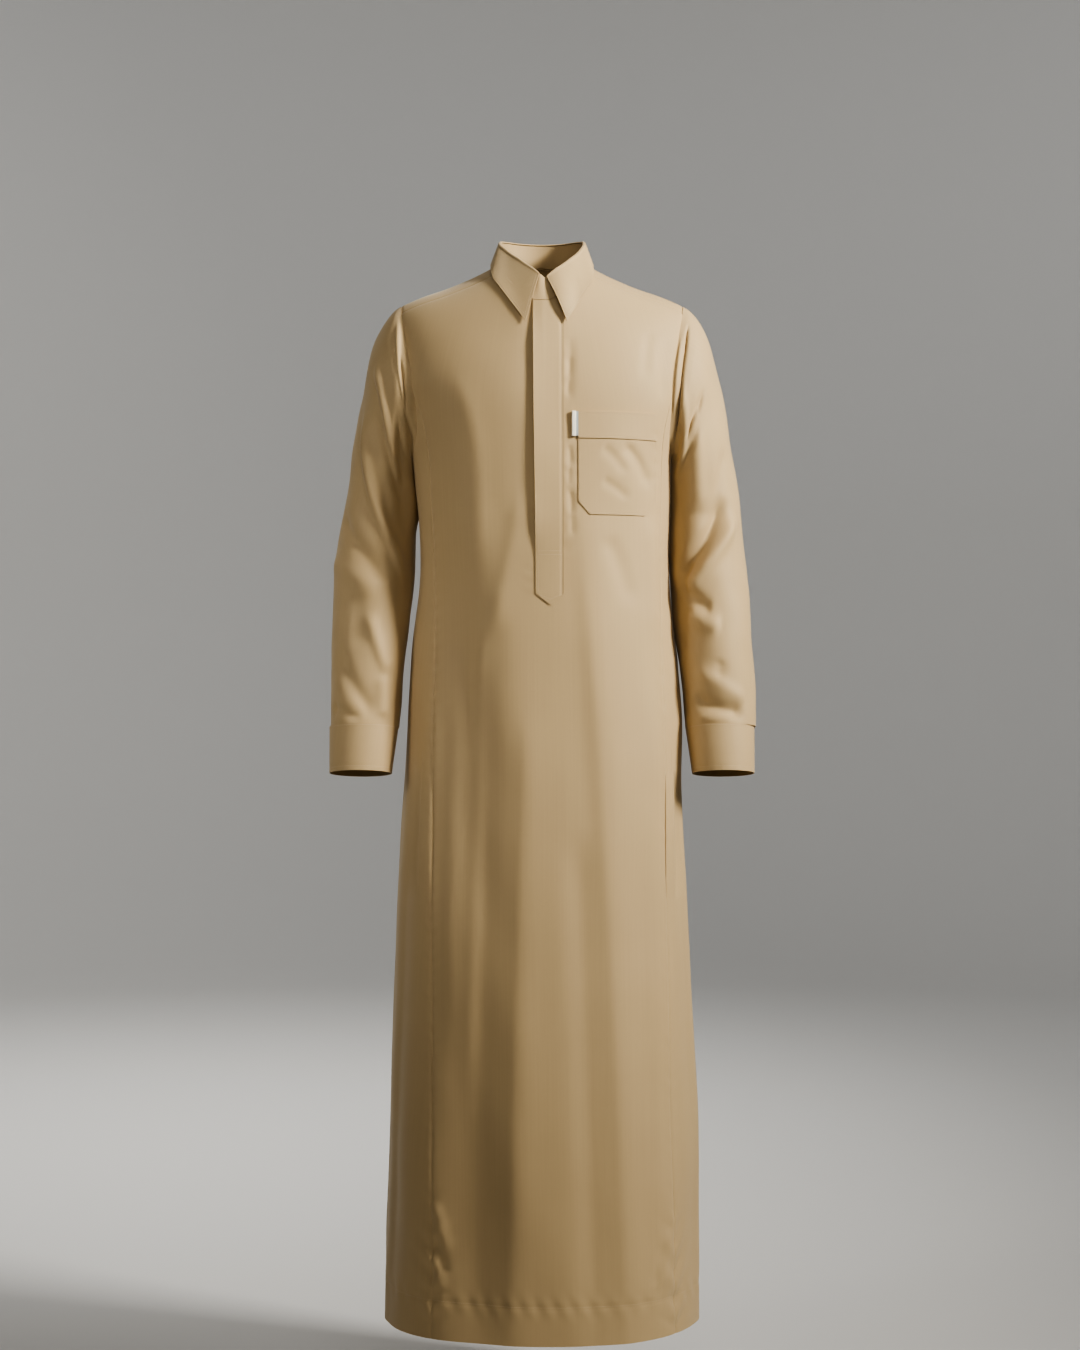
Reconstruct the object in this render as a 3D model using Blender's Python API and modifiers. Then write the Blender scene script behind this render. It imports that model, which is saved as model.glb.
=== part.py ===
"""Thobe robe: a long shirt-like robe with a folded collar, a concealed placket and a chest pocket.

Every piece that a maker cuts and sews is its own object. The body is one surface of rings, worked out
from the girth table, and each panel is a patch of it bounded by its seams. Metres, +Z up, front at -Y,
origin at the middle of the neck base, level with the neck end of the shoulders.
"""

import math
from collections import namedtuple

import bpy
import numpy as np

# Cloth and seams
BODY_CLOTH = 0.0012
FINE_CLOTH = 0.0010
SEAM_GAP = 0.0003

# Body
CHEST_LEVEL = -0.205
CREST = 0.250
HEM_LEVEL = -1.437
ROUNDNESS = 2.3
YOKE_FRONT_DOWN = 0.067
YOKE_SEAM_LEVEL = -0.105
YOKE_SEAM_EDGE = 0.183
YOKE_ROWS = 7
YOKE_NECK_CELLS = 10
YOKE_BACK_HALF = 0.075
YOKE_ROUND_NECK = 0.013
GORE_TOP_DOWN = 0.223
GORE_BLEND_DOWN = 0.450
GORE_SHARES = (0.0, 0.065, 0.125, 0.155, 0.30, 0.44, 0.58, 0.72, 0.86, 1.0)
BACK_CELLS = 16
LEFT_COLUMN_X = -0.138
LEFT_COLUMNS = 6
NECK_COLUMNS_X = (-0.0430, -0.0280)

# Side pocket mouths, between two columns of each side panel
MOUTH_FRONT_COLUMN = 2
MOUTH_TOP_LEVEL = -0.690
MOUTH_END_LEVEL = -0.860
MOUTH_LIP_RISE = 0.0050
MOUTH_LIP_SINK = 0.0050
MOUTH_FULLNESS = 0.7

# Neck and collar
NECK_HALF_WIDTH = 0.0658
NECK_FRONT_DOWN = 0.1476
NECK_BACK_DOWN = 0.083
NECK_CORNER_X = 0.0586
FOLD_HALF_WIDTH = 0.0564
FOLD_FRONT_DEPTH = 0.076
FOLD_BACK_DEPTH = 0.056
STAND_INNER_END = 12.0
STAND_OUTER_END = -372.0
STAND_CELLS = 32
STAND_TUCK = 0.0023
STAND_TUCK_FADE = (30.0, 90.0)
STAND_TUCK_LIFT = 0.3
STAND_ROWS = 3
STAND_SEAT = 0.0008
LEAF_LEFT_X = 0.0235
LEAF_RIGHT_X = 0.0320
LEAF_RIGHT_STANDOFF = 0.010
COLLAR_BULGE = 0.0015
LEAF_LEFT_TURN = 4.0
LEAF_RIGHT_TURN = 7.0
FALL_HALF_STEPS = 15
FALL_ROWS = (0.0, 0.25, 0.5, 0.75, 1.0)
LEAF_POINT_FADE = 0.22
LEAF_STANDOFF_FADE = 0.30

# Placket, slot and pocket
PLACKET_LEFT_X = -0.0134
PLACKET_RIGHT_X = 0.0295
PLACKET_CENTRE_X = 0.0080
SLOT_LEFT_X = -0.0040
PLACKET_CORNER_LEVEL = -0.4496
PLACKET_TIP_LEVEL = -0.4648
SLOT_END_LEVEL = -0.3792
PLACKET_TOP_TRIM = 0.0030
PLACKET_LIFT = 0.0040
PLACKET_LIFT_CURVE = 1.6
PLACKET_OPEN_FADE = (0.330, 0.440)
PLACKET_NECK_FADE = 0.050
PLACKET_POINT_LIMIT = 0.97
PLACKET_LINE_X = 0.0185
UNDERLAP_BELOW_SLOT = 0.035
UNDERLAP_TOP_TRIM = 0.0005
POCKET_LEFT_X = 0.0452
POCKET_RIGHT_X = 0.1527
POCKET_CELLS = 8
POCKET_TOP_LEVEL = -0.2066
BAND_END_LEVEL = -0.2425
CHAMFER_LEVEL = -0.3266
POCKET_END_LEVEL = -0.3440

# Tab at the pocket band's end
TAB_HEIGHT = 0.034
TAB_WIDTH = 0.0112
TAB_LEFT_X = 0.0380
TAB_RISE = 0.001

# Sleeves and cuffs
SLEEVE_SIDES = 22
ARMHOLE_SEAT = 0.0006
ARMHOLE_STANDOFF = 0.0022
ARMHOLE_STANDOFF_FADE = (10.0, 110.0)
UNDERARM_STANDOFF = 0.0045
UNDERARM_FADE = (60.0, 135.0)
ARMHOLE_EASE = (1.0, 0.55, 0.22, 0.06)
SLEEVE_TOP_FADE = 0.10
SLEEVE_CUFF_FADE = 0.05

# The tab's outline in plan: a thick bar with rounded edges and a thin wing that lies over the band
TabCorner = namedtuple("TabCorner", "across out")
TAB_CORNERS = (
    TabCorner(0.0000, 0.0018),
    TabCorner(0.0064, 0.0018),
    TabCorner(0.0064, 0.0044),
    TabCorner(TAB_WIDTH, 0.0044),
    TabCorner(TAB_WIDTH, 0.0051),
    TabCorner(0.0062, 0.0051),
    TabCorner(0.0056, 0.0058),
    TabCorner(0.0006, 0.0058),
    TabCorner(0.0000, 0.0052),
)

Girth = namedtuple("Girth", "down half_width front back left_seam right_seam")
GIRTHS = (
    Girth(0.000, 0.2150, 0.110, 0.112, 0.175, 0.175),
    Girth(0.100, 0.2140, 0.111, 0.116, 0.175, 0.175),
    Girth(0.180, 0.2060, 0.113, 0.119, 0.175, 0.175),
    Girth(0.223, 0.1975, 0.115, 0.120, 0.1748, 0.1748),
    Girth(0.265, 0.1870, 0.116, 0.119, 0.1640, 0.1660),
    Girth(0.315, 0.1760, 0.116, 0.115, 0.1560, 0.1620),
    Girth(0.365, 0.1705, 0.115, 0.109, 0.1530, 0.1595),
    Girth(0.455, 0.1675, 0.113, 0.101, 0.1515, 0.1580),
    Girth(0.585, 0.1790, 0.116, 0.114, 0.1515, 0.1615),
    Girth(0.735, 0.1868, 0.126, 0.130, 0.1515, 0.1645),
    Girth(0.845, 0.1912, 0.134, 0.138, 0.1510, 0.1655),
    Girth(1.055, 0.2000, 0.150, 0.153, 0.1500, 0.1685),
    Girth(1.285, 0.2098, 0.167, 0.168, 0.1490, 0.1735),
    Girth(1.482, 0.2138, 0.178, 0.178, 0.1485, 0.1785),
)

Ridge = namedtuple("Ridge", "out height")
RIDGES = (
    Ridge(0.000, 0.0450),
    Ridge(0.030, 0.0325),
    Ridge(0.050, 0.0150),
    Ridge(0.0717, 0.0000),
    Ridge(0.0876, -0.0083),
    Ridge(0.1255, -0.0248),
    Ridge(0.1724, -0.0414),
    Ridge(0.1950, -0.0515),
    Ridge(0.2200, -0.0650),
)

Armhole = namedtuple("Armhole", "turn girth_angle down")
ARMHOLES = (
    Armhole(0, 63.4, 0.000),
    Armhole(30, 61.6, 0.070),
    Armhole(60, 59.2, 0.145),
    Armhole(90, 58.6, 0.200),
    Armhole(110, 60.2, 0.223),
    Armhole(135, 66.0, 0.268),
    Armhole(155, 73.5, 0.294),
    Armhole(170, 82.0, 0.309),
    Armhole(180, 90.0, 0.315),
)

FoldLine = namedtuple("FoldLine", "turn height")
FOLD_LINES = (
    FoldLine(0, -0.0215),
    FoldLine(15, -0.0085),
    FoldLine(30, 0.0005),
    FoldLine(45, 0.0095),
    FoldLine(60, 0.0185),
    FoldLine(75, 0.0280),
    FoldLine(90, 0.0360),
    FoldLine(120, 0.0410),
    FoldLine(150, 0.0420),
    FoldLine(180, 0.0420),
)

LeafEdge = namedtuple("LeafEdge", "step out down clear")
LEAF_EDGES = (
    LeafEdge(0.00, 0.0278, -0.1660, 0.0045),
    LeafEdge(0.12, 0.0465, -0.1310, 0.0035),
    LeafEdge(0.22, 0.0570, -0.1085, 0.0030),
    LeafEdge(0.32, 0.0655, -0.0830, 0.0030),
    LeafEdge(0.42, 0.0705, -0.0550, 0.0030),
    LeafEdge(0.52, 0.0735, -0.0200, 0.0030),
    LeafEdge(0.62, 0.0730, 0.0180, 0.0030),
    LeafEdge(0.74, 0.0660, 0.0550, 0.0030),
    LeafEdge(0.86, 0.0430, 0.0930, 0.0030),
    LeafEdge(1.00, 0.0000, 0.1130, 0.0030),
)

# The fall's roll over the fold line, ending at its shoulder
Roll = namedtuple("Roll", "out up")
FOLD_ROLL = (
    Roll(0.0000, 0.0009),
    Roll(0.0010, 0.0024),
    Roll(0.0034, 0.0016),
    Roll(0.0045, -0.0014),
)

ArmSection = namedtuple("ArmSection", "outer_x outer_z inner_x inner_z half_depth back pitch")
ARM_SECTIONS = (
    ArmSection(0.1950, -0.0515, 0.1765, -0.2670, 0.0640, 0.000, 0.00),
    ArmSection(0.2050, -0.0595, 0.1795, -0.2685, 0.0640, 0.001, 0.00),
    ArmSection(0.2165, -0.0755, 0.1812, -0.2740, 0.0640, 0.002, 0.00),
    ArmSection(0.2275, -0.0990, 0.1812, -0.2810, 0.0635, 0.003, 0.00),
    ArmSection(0.2378, -0.1320, 0.1802, -0.2900, 0.0625, 0.005, 0.00),
    ArmSection(0.2460, -0.1700, 0.1787, -0.3010, 0.0610, 0.007, -0.02),
    ArmSection(0.2545, -0.2140, 0.1772, -0.3150, 0.0595, 0.009, -0.02),
    ArmSection(0.2625, -0.2580, 0.1762, -0.3310, 0.0585, 0.011, -0.01),
    ArmSection(0.2700, -0.3020, 0.1758, -0.3500, 0.0575, 0.013, 0.00),
    ArmSection(0.2762, -0.3450, 0.1760, -0.3720, 0.0565, 0.013, 0.02),
    ArmSection(0.2813, -0.3880, 0.1770, -0.3980, 0.0560, 0.011, 0.06),
    ArmSection(0.2850, -0.4290, 0.1790, -0.4310, 0.0550, 0.007, 0.09),
    ArmSection(0.2875, -0.4690, 0.1822, -0.4690, 0.0540, 0.002, 0.11),
    ArmSection(0.2890, -0.5100, 0.1862, -0.5100, 0.0525, -0.004, 0.13),
    ArmSection(0.2897, -0.5510, 0.1905, -0.5510, 0.0505, -0.010, 0.14),
    ArmSection(0.2900, -0.5920, 0.1945, -0.5920, 0.0480, -0.015, 0.14),
    ArmSection(0.2900, -0.6300, 0.1980, -0.6300, 0.0460, -0.020, 0.14),
)
CUFF_SECTIONS = (
    ARM_SECTIONS[-1],
    ArmSection(0.2897, -0.6610, 0.2022, -0.6610, 0.0450, -0.025, 0.14),
    ArmSection(0.2893, -0.6930, 0.2065, -0.6930, 0.0440, -0.030, 0.14),
)

# Folds on the body: a curve from start by middle to end, seen from the named side
# (front and back read x and z, left and right read y and z), its half-width and how far it stands out.
BodyFold = namedtuple("BodyFold", "side start middle end half_width rise")
BODY_FOLDS = (
    BodyFold("front", (-0.082, -0.440), (-0.042, -0.820), (-0.096, -1.560), 0.024, -0.0080),
    BodyFold("front", (0.000, -0.620), (-0.012, -1.000), (0.000, -1.600), 0.036, 0.0070),
    BodyFold("front", (-0.112, -0.560), (-0.094, -0.860), (-0.116, -1.300), 0.020, 0.0050),
    BodyFold("front", (0.034, -0.600), (0.044, -0.980), (0.092, -1.600), 0.022, -0.0060),
    BodyFold("front", (0.100, -0.560), (0.112, -1.000), (0.150, -1.560), 0.030, 0.0050),
    BodyFold("front", (-0.168, -0.100), (-0.138, -0.220), (-0.086, -0.370), 0.022, -0.0050),
    BodyFold("front", (0.060, -0.370), (0.080, -0.500), (0.118, -0.660), 0.020, -0.0030),
    BodyFold("back", (-0.130, -0.130), (-0.100, -0.260), (-0.050, -0.420), 0.024, -0.0050),
    BodyFold("back", (0.135, -0.120), (0.095, -0.270), (0.060, -0.400), 0.022, -0.0045),
    BodyFold("back", (-0.020, -0.360), (-0.028, -0.560), (-0.012, -0.780), 0.026, -0.0050),
    BodyFold("back", (-0.110, -0.560), (-0.118, -0.960), (-0.100, -1.600), 0.026, 0.0070),
    BodyFold("back", (-0.050, -0.640), (-0.060, -1.050), (-0.040, -1.600), 0.022, -0.0070),
    BodyFold("back", (0.012, -0.600), (0.014, -1.000), (0.030, -1.600), 0.028, 0.0070),
    BodyFold("back", (0.068, -0.700), (0.072, -1.100), (0.092, -1.600), 0.022, -0.0065),
    BodyFold("back", (0.122, -0.620), (0.126, -1.000), (0.136, -1.600), 0.024, 0.0050),
    BodyFold("left", (-0.040, -0.480), (-0.052, -0.900), (-0.060, -1.600), 0.024, -0.0050),
    BodyFold("left", (0.030, -0.520), (0.034, -0.960), (0.050, -1.600), 0.026, 0.0055),
    BodyFold("right", (-0.020, -0.500), (-0.026, -0.940), (-0.038, -1.600), 0.026, 0.0050),
    BodyFold("right", (0.046, -0.460), (0.056, -0.900), (0.062, -1.600), 0.022, -0.0050),
)

# Folds on a sleeve: angle round it (0 outer edge, 90 front, 180 inner edge, 270 back) and share of its
# length from the armhole at start, middle and end, half-width in metres and how far it stands out.
SleeveFold = namedtuple("SleeveFold", "start middle end half_width rise")
LEFT_SLEEVE_FOLDS = (
    SleeveFold((75, 0.00), (104, 0.14), (140, 0.36), 0.013, 0.0060),
    SleeveFold((30, 0.20), (48, 0.42), (112, 0.64), 0.012, 0.0065),
    SleeveFold((66, 0.16), (84, 0.26), (118, 0.38), 0.011, 0.0040),
    SleeveFold((-20, 0.54), (30, 0.60), (86, 0.68), 0.014, -0.0060),
    SleeveFold((130, 0.66), (90, 0.74), (30, 0.80), 0.014, -0.0040),
    SleeveFold((140, 0.86), (96, 0.84), (50, 0.90), 0.012, -0.0045),
    SleeveFold((300, 0.22), (280, 0.40), (220, 0.60), 0.015, 0.0055),
    SleeveFold((330, 0.56), (280, 0.62), (215, 0.66), 0.014, -0.0060),
    SleeveFold((230, 0.74), (270, 0.80), (320, 0.84), 0.014, -0.0045),
)
RIGHT_SLEEVE_FOLDS = (
    SleeveFold((98, 0.02), (112, 0.16), (136, 0.34), 0.012, 0.0050),
    SleeveFold((40, 0.32), (50, 0.40), (76, 0.46), 0.011, -0.0045),
    SleeveFold((28, 0.44), (70, 0.54), (130, 0.66), 0.013, -0.0075),
    SleeveFold((60, 0.20), (78, 0.34), (104, 0.50), 0.014, 0.0050),
    SleeveFold((130, 0.70), (95, 0.71), (60, 0.74), 0.012, 0.0045),
    SleeveFold((56, 0.91), (88, 0.95), (140, 0.88), 0.012, -0.0065),
    SleeveFold((290, 0.20), (278, 0.36), (226, 0.56), 0.015, 0.0055),
    SleeveFold((325, 0.52), (276, 0.60), (212, 0.64), 0.014, -0.0060),
    SleeveFold((225, 0.78), (266, 0.82), (322, 0.88), 0.014, -0.0045),
)
SLEEVE_LENGTH = 0.58
SLEEVE_RADIUS = 0.052
FOLD_SAMPLES = 24
FOLD_END_TAPER = 0.22
FOLD_FACING = (0.25, 0.65)

# Small steps for normals
DISTANCE_STEP = 0.0005
ANGLE_STEP = 0.05
WIDEST_DISTANCE = 10.0

# Level rows of the body from the hem up, shared by all panels so that their seams meet point to point
SKIRT_ROWS = 19
WAIST_ROWS = 3
POCKET_ROWS = 6
BAND_ROWS = 2
SHOULDER_DOWNS = (GORE_TOP_DOWN, 0.192, 0.161, 0.130, 0.098, YOKE_FRONT_DOWN)
BACK_TOP_ROWS = 4

COLOURS = {
    "camel_cloth": (0.560, 0.420, 0.240, 1.0),
    "tab_white": (0.860, 0.850, 0.800, 1.0),
}
CLOTH_ROUGHNESS = 0.75
TAB_ROUGHNESS = 0.35


def column(table, field):
    """One named column of a table as an array."""
    return np.array([getattr(row, field) for row in table], dtype=float)


def smooth(at, keys, values):
    """Cubic curve through a table's values, with each slope taken from the rows beside it."""
    slopes = np.gradient(values, keys)
    at = np.clip(np.asarray(at, dtype=float), keys[0], keys[-1])
    i = np.clip(np.searchsorted(keys, at) - 1, 0, len(keys) - 2)
    span = keys[i + 1] - keys[i]
    t = (at - keys[i]) / span
    rise = values[i + 1] - values[i]
    start = slopes[i] * span - rise
    end = rise - slopes[i + 1] * span
    return values[i] + rise * t + t * (1.0 - t) * ((1.0 - t) * start + t * end)


def read(table, key, field, at):
    """A table's named column, read smoothly along its key column."""
    return smooth(at, column(table, key), column(table, field))


def smoothstep(low, high, value):
    t = np.clip((value - low) / (high - low), 0.0, 1.0)
    return t * t * (3.0 - 2.0 * t)


def level_to_down(level):
    """Distance down the cloth from the shoulder ridge to a level at or below the chest."""
    return CREST + CHEST_LEVEL - level


def body_point(across, forward, down):
    """Point of the body from its place round the ring (across, forward) and its distance down."""
    width = read(GIRTHS, "down", "half_width", down)
    front = read(GIRTHS, "down", "front", down)
    back = read(GIRTHS, "down", "back", down)
    roll = np.clip(down / CREST, 0.0, 1.0) * math.pi / 2.0
    x = width * across
    ridge = read(RIDGES, "out", "height", np.abs(x))
    over_shoulder = CHEST_LEVEL + (ridge - CHEST_LEVEL) * np.cos(roll)
    z = np.where(down < CREST, over_shoulder, CHEST_LEVEL + CREST - down)
    depth = np.where(forward > 0.0, front, back) * forward * np.sin(roll)
    return np.stack((x, -depth, z), axis=-1)


def flat_point(x, down):
    """Body point at a distance across; down is negative on the front and positive on the back."""
    width = read(GIRTHS, "down", "half_width", np.abs(down))
    across = np.clip(x / width, -1.0, 1.0)
    forward = (1.0 - np.abs(across) ** ROUNDNESS) ** (1.0 / ROUNDNESS)
    return body_point(across, np.where(down < 0.0, forward, -forward), np.abs(down))


def side_point(angle, down, side):
    """Body point at a girth angle in degrees: 0 front, 90 the side, 180 back."""
    turn = np.radians(angle)
    power = 2.0 / ROUNDNESS
    across = np.abs(np.sin(turn)) ** power * side
    forward = np.sign(np.cos(turn)) * np.abs(np.cos(turn)) ** power
    return body_point(across, forward, down)


def girth_angle(x, down):
    """Girth angle of a front point that lies x from the middle."""
    width = read(GIRTHS, "down", "half_width", down)
    return np.degrees(np.arcsin(np.clip(x / width, 0.0, 1.0) ** (ROUNDNESS / 2.0)))


def surface_normals(surface, first, second, flip):
    """Unit normals of a surface of two parameters, from small steps either side.

    The first parameter is a distance in metres, or an angle in degrees when it is larger than any
    distance across the robe.
    """
    turned = np.max(np.abs(first)) > WIDEST_DISTANCE
    step_first = ANGLE_STEP if turned else DISTANCE_STEP
    along_first = surface(first + step_first, second) - surface(first - step_first, second)
    along_second = surface(first, second + DISTANCE_STEP) - surface(first, second - DISTANCE_STEP)
    normals = np.cross(along_first, along_second) * flip
    return normals / np.linalg.norm(normals, axis=-1, keepdims=True)


def curve_distance(points, fold):
    """Distance of plane points from a fold's curve, and how far along it the nearest place is."""
    t = np.linspace(0.0, 1.0, FOLD_SAMPLES)[:, None]
    start, middle, end = (np.array(place) for place in (fold.start, fold.middle, fold.end))
    bend = 2.0 * middle - 0.5 * (start + end)
    curve = (1.0 - t) ** 2 * start + 2.0 * t * (1.0 - t) * bend + t ** 2 * end
    legs = curve[1:] - curve[:-1]
    offsets = points[..., None, :] - curve[:-1]
    share = np.clip((offsets * legs).sum(-1) / (legs ** 2).sum(-1), 0.0, 1.0)
    gaps = np.linalg.norm(offsets - share[..., None] * legs, axis=-1)
    nearest = gaps.argmin(-1)
    along = (nearest + np.take_along_axis(share, nearest[..., None], -1)[..., 0]) / (FOLD_SAMPLES - 1)
    return gaps.min(-1), along


def fold_rise(points, fold):
    """How far a fold moves plane points out: a soft hump across it that fades at both its ends."""
    gap, along = curve_distance(points, fold)
    fade = smoothstep(0.0, FOLD_END_TAPER, along) * smoothstep(0.0, FOLD_END_TAPER, 1.0 - along)
    return fold.rise * fade * np.exp(-(gap / fold.half_width) ** 2)


def body_relief(points, normals):
    """Sum of the body folds at each point, each kept to the side that it belongs to."""
    facing = {
        "front": -normals[..., 1],
        "back": normals[..., 1],
        "left": -normals[..., 0],
        "right": normals[..., 0],
    }
    relief = np.zeros(points.shape[:-1])
    for fold in BODY_FOLDS:
        plane = points[..., (0, 2)] if fold.side in ("front", "back") else points[..., (1, 2)]
        relief += fold_rise(plane, fold) * smoothstep(*FOLD_FACING, facing[fold.side])
    return relief


def folded_flat(x, down):
    """Front, back or yoke points with their folds."""
    base = flat_point(x, down)
    normals = surface_normals(flat_point, x, down, 1.0)
    return base + normals * body_relief(base, normals)[..., None]


def folded_side(angle, down, side):
    """Side panel points with their folds."""
    def surface(first, second):
        return side_point(first, second, side)
    base = surface(angle, down)
    normals = surface_normals(surface, angle, down, -float(side))
    return base + normals * body_relief(base, normals)[..., None]


def grid_normals(points, closed=False):
    """Unit normals at a grid's points, from the differences along its rows and columns."""
    along_rows = np.gradient(points, axis=1)
    if closed:
        along_rows = np.roll(points, -1, axis=1) - np.roll(points, 1, axis=1)
    normals = np.cross(along_rows, np.gradient(points, axis=0))
    return normals / np.linalg.norm(normals, axis=-1, keepdims=True)


def trimmed(points, bottom=0.0, top=0.0, left=0.0, right=0.0):
    """A grid whose borders are drawn in by the given distances, square to each border."""
    drawn = points.copy()
    edits = (
        (bottom, (0, slice(None)), (1, slice(None))),
        (top, (-1, slice(None)), (-2, slice(None))),
        (left, (slice(None), 0), (slice(None), 1)),
        (right, (slice(None), -1), (slice(None), -2)),
    )
    for distance, edge, neighbour in edits:
        along = np.gradient(points[edge], axis=0)
        along /= np.linalg.norm(along, axis=-1, keepdims=True)
        inward = points[neighbour] - points[edge]
        inward -= along * (inward * along).sum(-1, keepdims=True)
        drawn[edge] += inward * distance / np.linalg.norm(inward, axis=-1, keepdims=True)
    return drawn


def material(name):
    """The cloth or trim finish of that name."""
    found = bpy.data.materials.get(name)
    if found:
        return found
    made = bpy.data.materials.new(name)
    made.use_nodes = True
    shader = made.node_tree.nodes["Principled BSDF"]
    shader.inputs["Base Color"].default_value = COLOURS["tab_white" if "tab" in name else "camel_cloth"]
    shader.inputs["Roughness"].default_value = TAB_ROUGHNESS if "tab" in name else CLOTH_ROUGHNESS
    shader.inputs["Metallic"].default_value = 0.0
    return made


def add_shell(name, points, wall, collection, closed=False, keep=None):
    """A cloth piece: an open sheet through a grid of points, given a wall on the side that its cells face.

    Rows run up a piece and columns to the right as seen from outside, so its wall is on the outer side;
    only the yoke's columns run the other way. A closed grid joins its last column to its first, and keep
    says which cells of the grid are cloth.
    """
    rows, columns = points.shape[:2]
    number = np.arange(rows * columns).reshape(rows, columns)
    if closed:
        number = np.concatenate((number, number[:, :1]), axis=1)
    corners = (number[:-1, :-1], number[:-1, 1:], number[1:, 1:], number[1:, :-1])
    cells = np.stack(corners, axis=-1)
    if keep is not None:
        cells = cells[keep]
    faces = [tuple(int(corner) for corner in cell) for cell in cells.reshape(-1, 4)]
    return add_solid(name, points.reshape(-1, 3), faces, wall, collection)


def add_solid(name, places, faces, wall, collection):
    """An open sheet of faces with a Solidify wall on its outer side."""
    used = sorted({corner for face in faces for corner in face})
    renumber = {old: new for new, old in enumerate(used)}
    mesh = bpy.data.meshes.new(name)
    mesh.from_pydata(
        [tuple(places[corner]) for corner in used],
        [],
        [tuple(renumber[corner] for corner in face) for face in faces],
    )
    mesh.shade_smooth()
    piece = bpy.data.objects.new(name, mesh)
    collection.objects.link(piece)
    piece.data.materials.append(material(name + "_finish"))
    solidify = piece.modifiers.new("Wall", "SOLIDIFY")
    solidify.thickness = wall
    solidify.offset = 1.0
    return piece


def body_levels():
    """Distances down of the body's level rows, from the hem to the pocket's top edge."""
    levels = list(np.linspace(HEM_LEVEL, PLACKET_TIP_LEVEL, SKIRT_ROWS + 1))
    levels += list(np.linspace(PLACKET_CORNER_LEVEL, POCKET_END_LEVEL, WAIST_ROWS + 1))
    levels += list(np.linspace(CHAMFER_LEVEL, BAND_END_LEVEL, POCKET_ROWS))
    levels += list(np.linspace(BAND_END_LEVEL, POCKET_TOP_LEVEL, BAND_ROWS + 1))[1:]
    return [level_to_down(level) for level in levels]


def front_columns():
    """Distances across of the front panel's upright columns between its two edge columns."""
    left = list(np.linspace(LEFT_COLUMN_X, -NECK_CORNER_X, LEFT_COLUMNS)) + list(NECK_COLUMNS_X)
    middle = [PLACKET_LEFT_X, SLOT_LEFT_X, PLACKET_CENTRE_X, PLACKET_LINE_X, PLACKET_RIGHT_X]
    pocket = list(np.linspace(POCKET_LEFT_X, POCKET_RIGHT_X, POCKET_CELLS + 1))
    pocket[1] = NECK_CORNER_X
    return np.array(left + middle + pocket)


def yoke_seam_down(x):
    """Distance down of the level back yoke seam at a distance across."""
    ridge = read(RIDGES, "out", "height", np.abs(x))
    return CREST * 2.0 / math.pi * np.arccos((YOKE_SEAM_LEVEL - CHEST_LEVEL) / (ridge - CHEST_LEVEL))


def armhole_x(down):
    """Distance of the armhole from the middle, for its part above the side panels."""
    upper = ARMHOLES[:5]
    angle = read(upper, "down", "girth_angle", down)
    power = 2.0 / ROUNDNESS
    return read(GIRTHS, "down", "half_width", down) * np.sin(np.radians(angle)) ** power


def seam_x(down, field):
    """Distance of a side seam from the middle, or of the armhole above it."""
    seam = read(GIRTHS, "down", field, down)
    return np.where(down > GORE_TOP_DOWN - 1e-6, seam, armhole_x(np.minimum(down, GORE_TOP_DOWN)))


def neck_down(x):
    """Distance down of the front neckline at a distance across."""
    inside = np.clip(1.0 - (x / NECK_HALF_WIDTH) ** 2, 0.0, 1.0)
    return np.where(np.abs(x) < NECK_CORNER_X - 1e-6, NECK_FRONT_DOWN * np.sqrt(inside), YOKE_FRONT_DOWN)


def front_grid():
    """Places across and distances down of the front panel's points."""
    levels = body_levels()
    chest = levels[-1]
    downs = np.array(levels + list(SHOULDER_DOWNS))
    columns = front_columns()
    left = -seam_x(downs, "left_seam")
    right = seam_x(downs, "right_seam")
    x = np.concatenate((left[:, None], np.tile(columns, (len(downs), 1)), right[:, None]), axis=1)
    share = np.clip((chest - downs) / (chest - YOKE_FRONT_DOWN), 0.0, 1.0)[:, None]
    top = np.concatenate(([YOKE_FRONT_DOWN], neck_down(columns), [YOKE_FRONT_DOWN]))
    down = np.where(share > 0.0, chest + (top - chest) * share, downs[:, None])
    return x, down


def front_points():
    x, down = front_grid()
    return x, down, folded_flat(x, -down)


def nearest(values, wanted):
    return int(np.abs(np.asarray(values) - wanted).argmin())


def build_front(collection):
    """Front panel, with the slot behind the placket."""
    x, down, points = front_points()
    middle = nearest(x[0], SLOT_LEFT_X)
    slot_row = nearest(down[:, middle], level_to_down(SLOT_END_LEVEL))
    keep = np.ones((x.shape[0] - 1, x.shape[1] - 1), dtype=bool)
    keep[slot_row:, middle] = False
    half = SEAM_GAP / 2.0
    sheet = trimmed(points, top=half, left=half, right=half)
    add_shell("front_panel", sheet, BODY_CLOTH, collection, keep=keep)


def back_points():
    """Back panel points; columns run from the wearer's left to the right, so that it faces out."""
    levels = np.array(body_levels())
    chest = levels[-1]
    edge_down = float(yoke_seam_down(YOKE_SEAM_EDGE))
    downs = np.concatenate((levels, np.linspace(GORE_TOP_DOWN, edge_down, BACK_TOP_ROWS)))
    right = seam_x(downs, "right_seam")
    left = seam_x(downs, "left_seam")
    share = np.linspace(0.0, 1.0, BACK_CELLS + 1)
    x = right[:, None] + (-left - right)[:, None] * share
    rise = np.clip((chest - downs) / (chest - edge_down), 0.0, 1.0)[:, None]
    down = np.where(rise > 0.0, chest + (yoke_seam_down(x[-1]) - chest) * rise, downs[:, None])
    down[:, 0] = down[:, -1] = downs
    return folded_flat(x, down)


def build_back(collection):
    """Back panel, from the hem to the back yoke seam."""
    points = back_points()
    half = SEAM_GAP / 2.0
    add_shell("back_panel", trimmed(points, top=half, left=half, right=half), BODY_CLOTH, collection)


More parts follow.
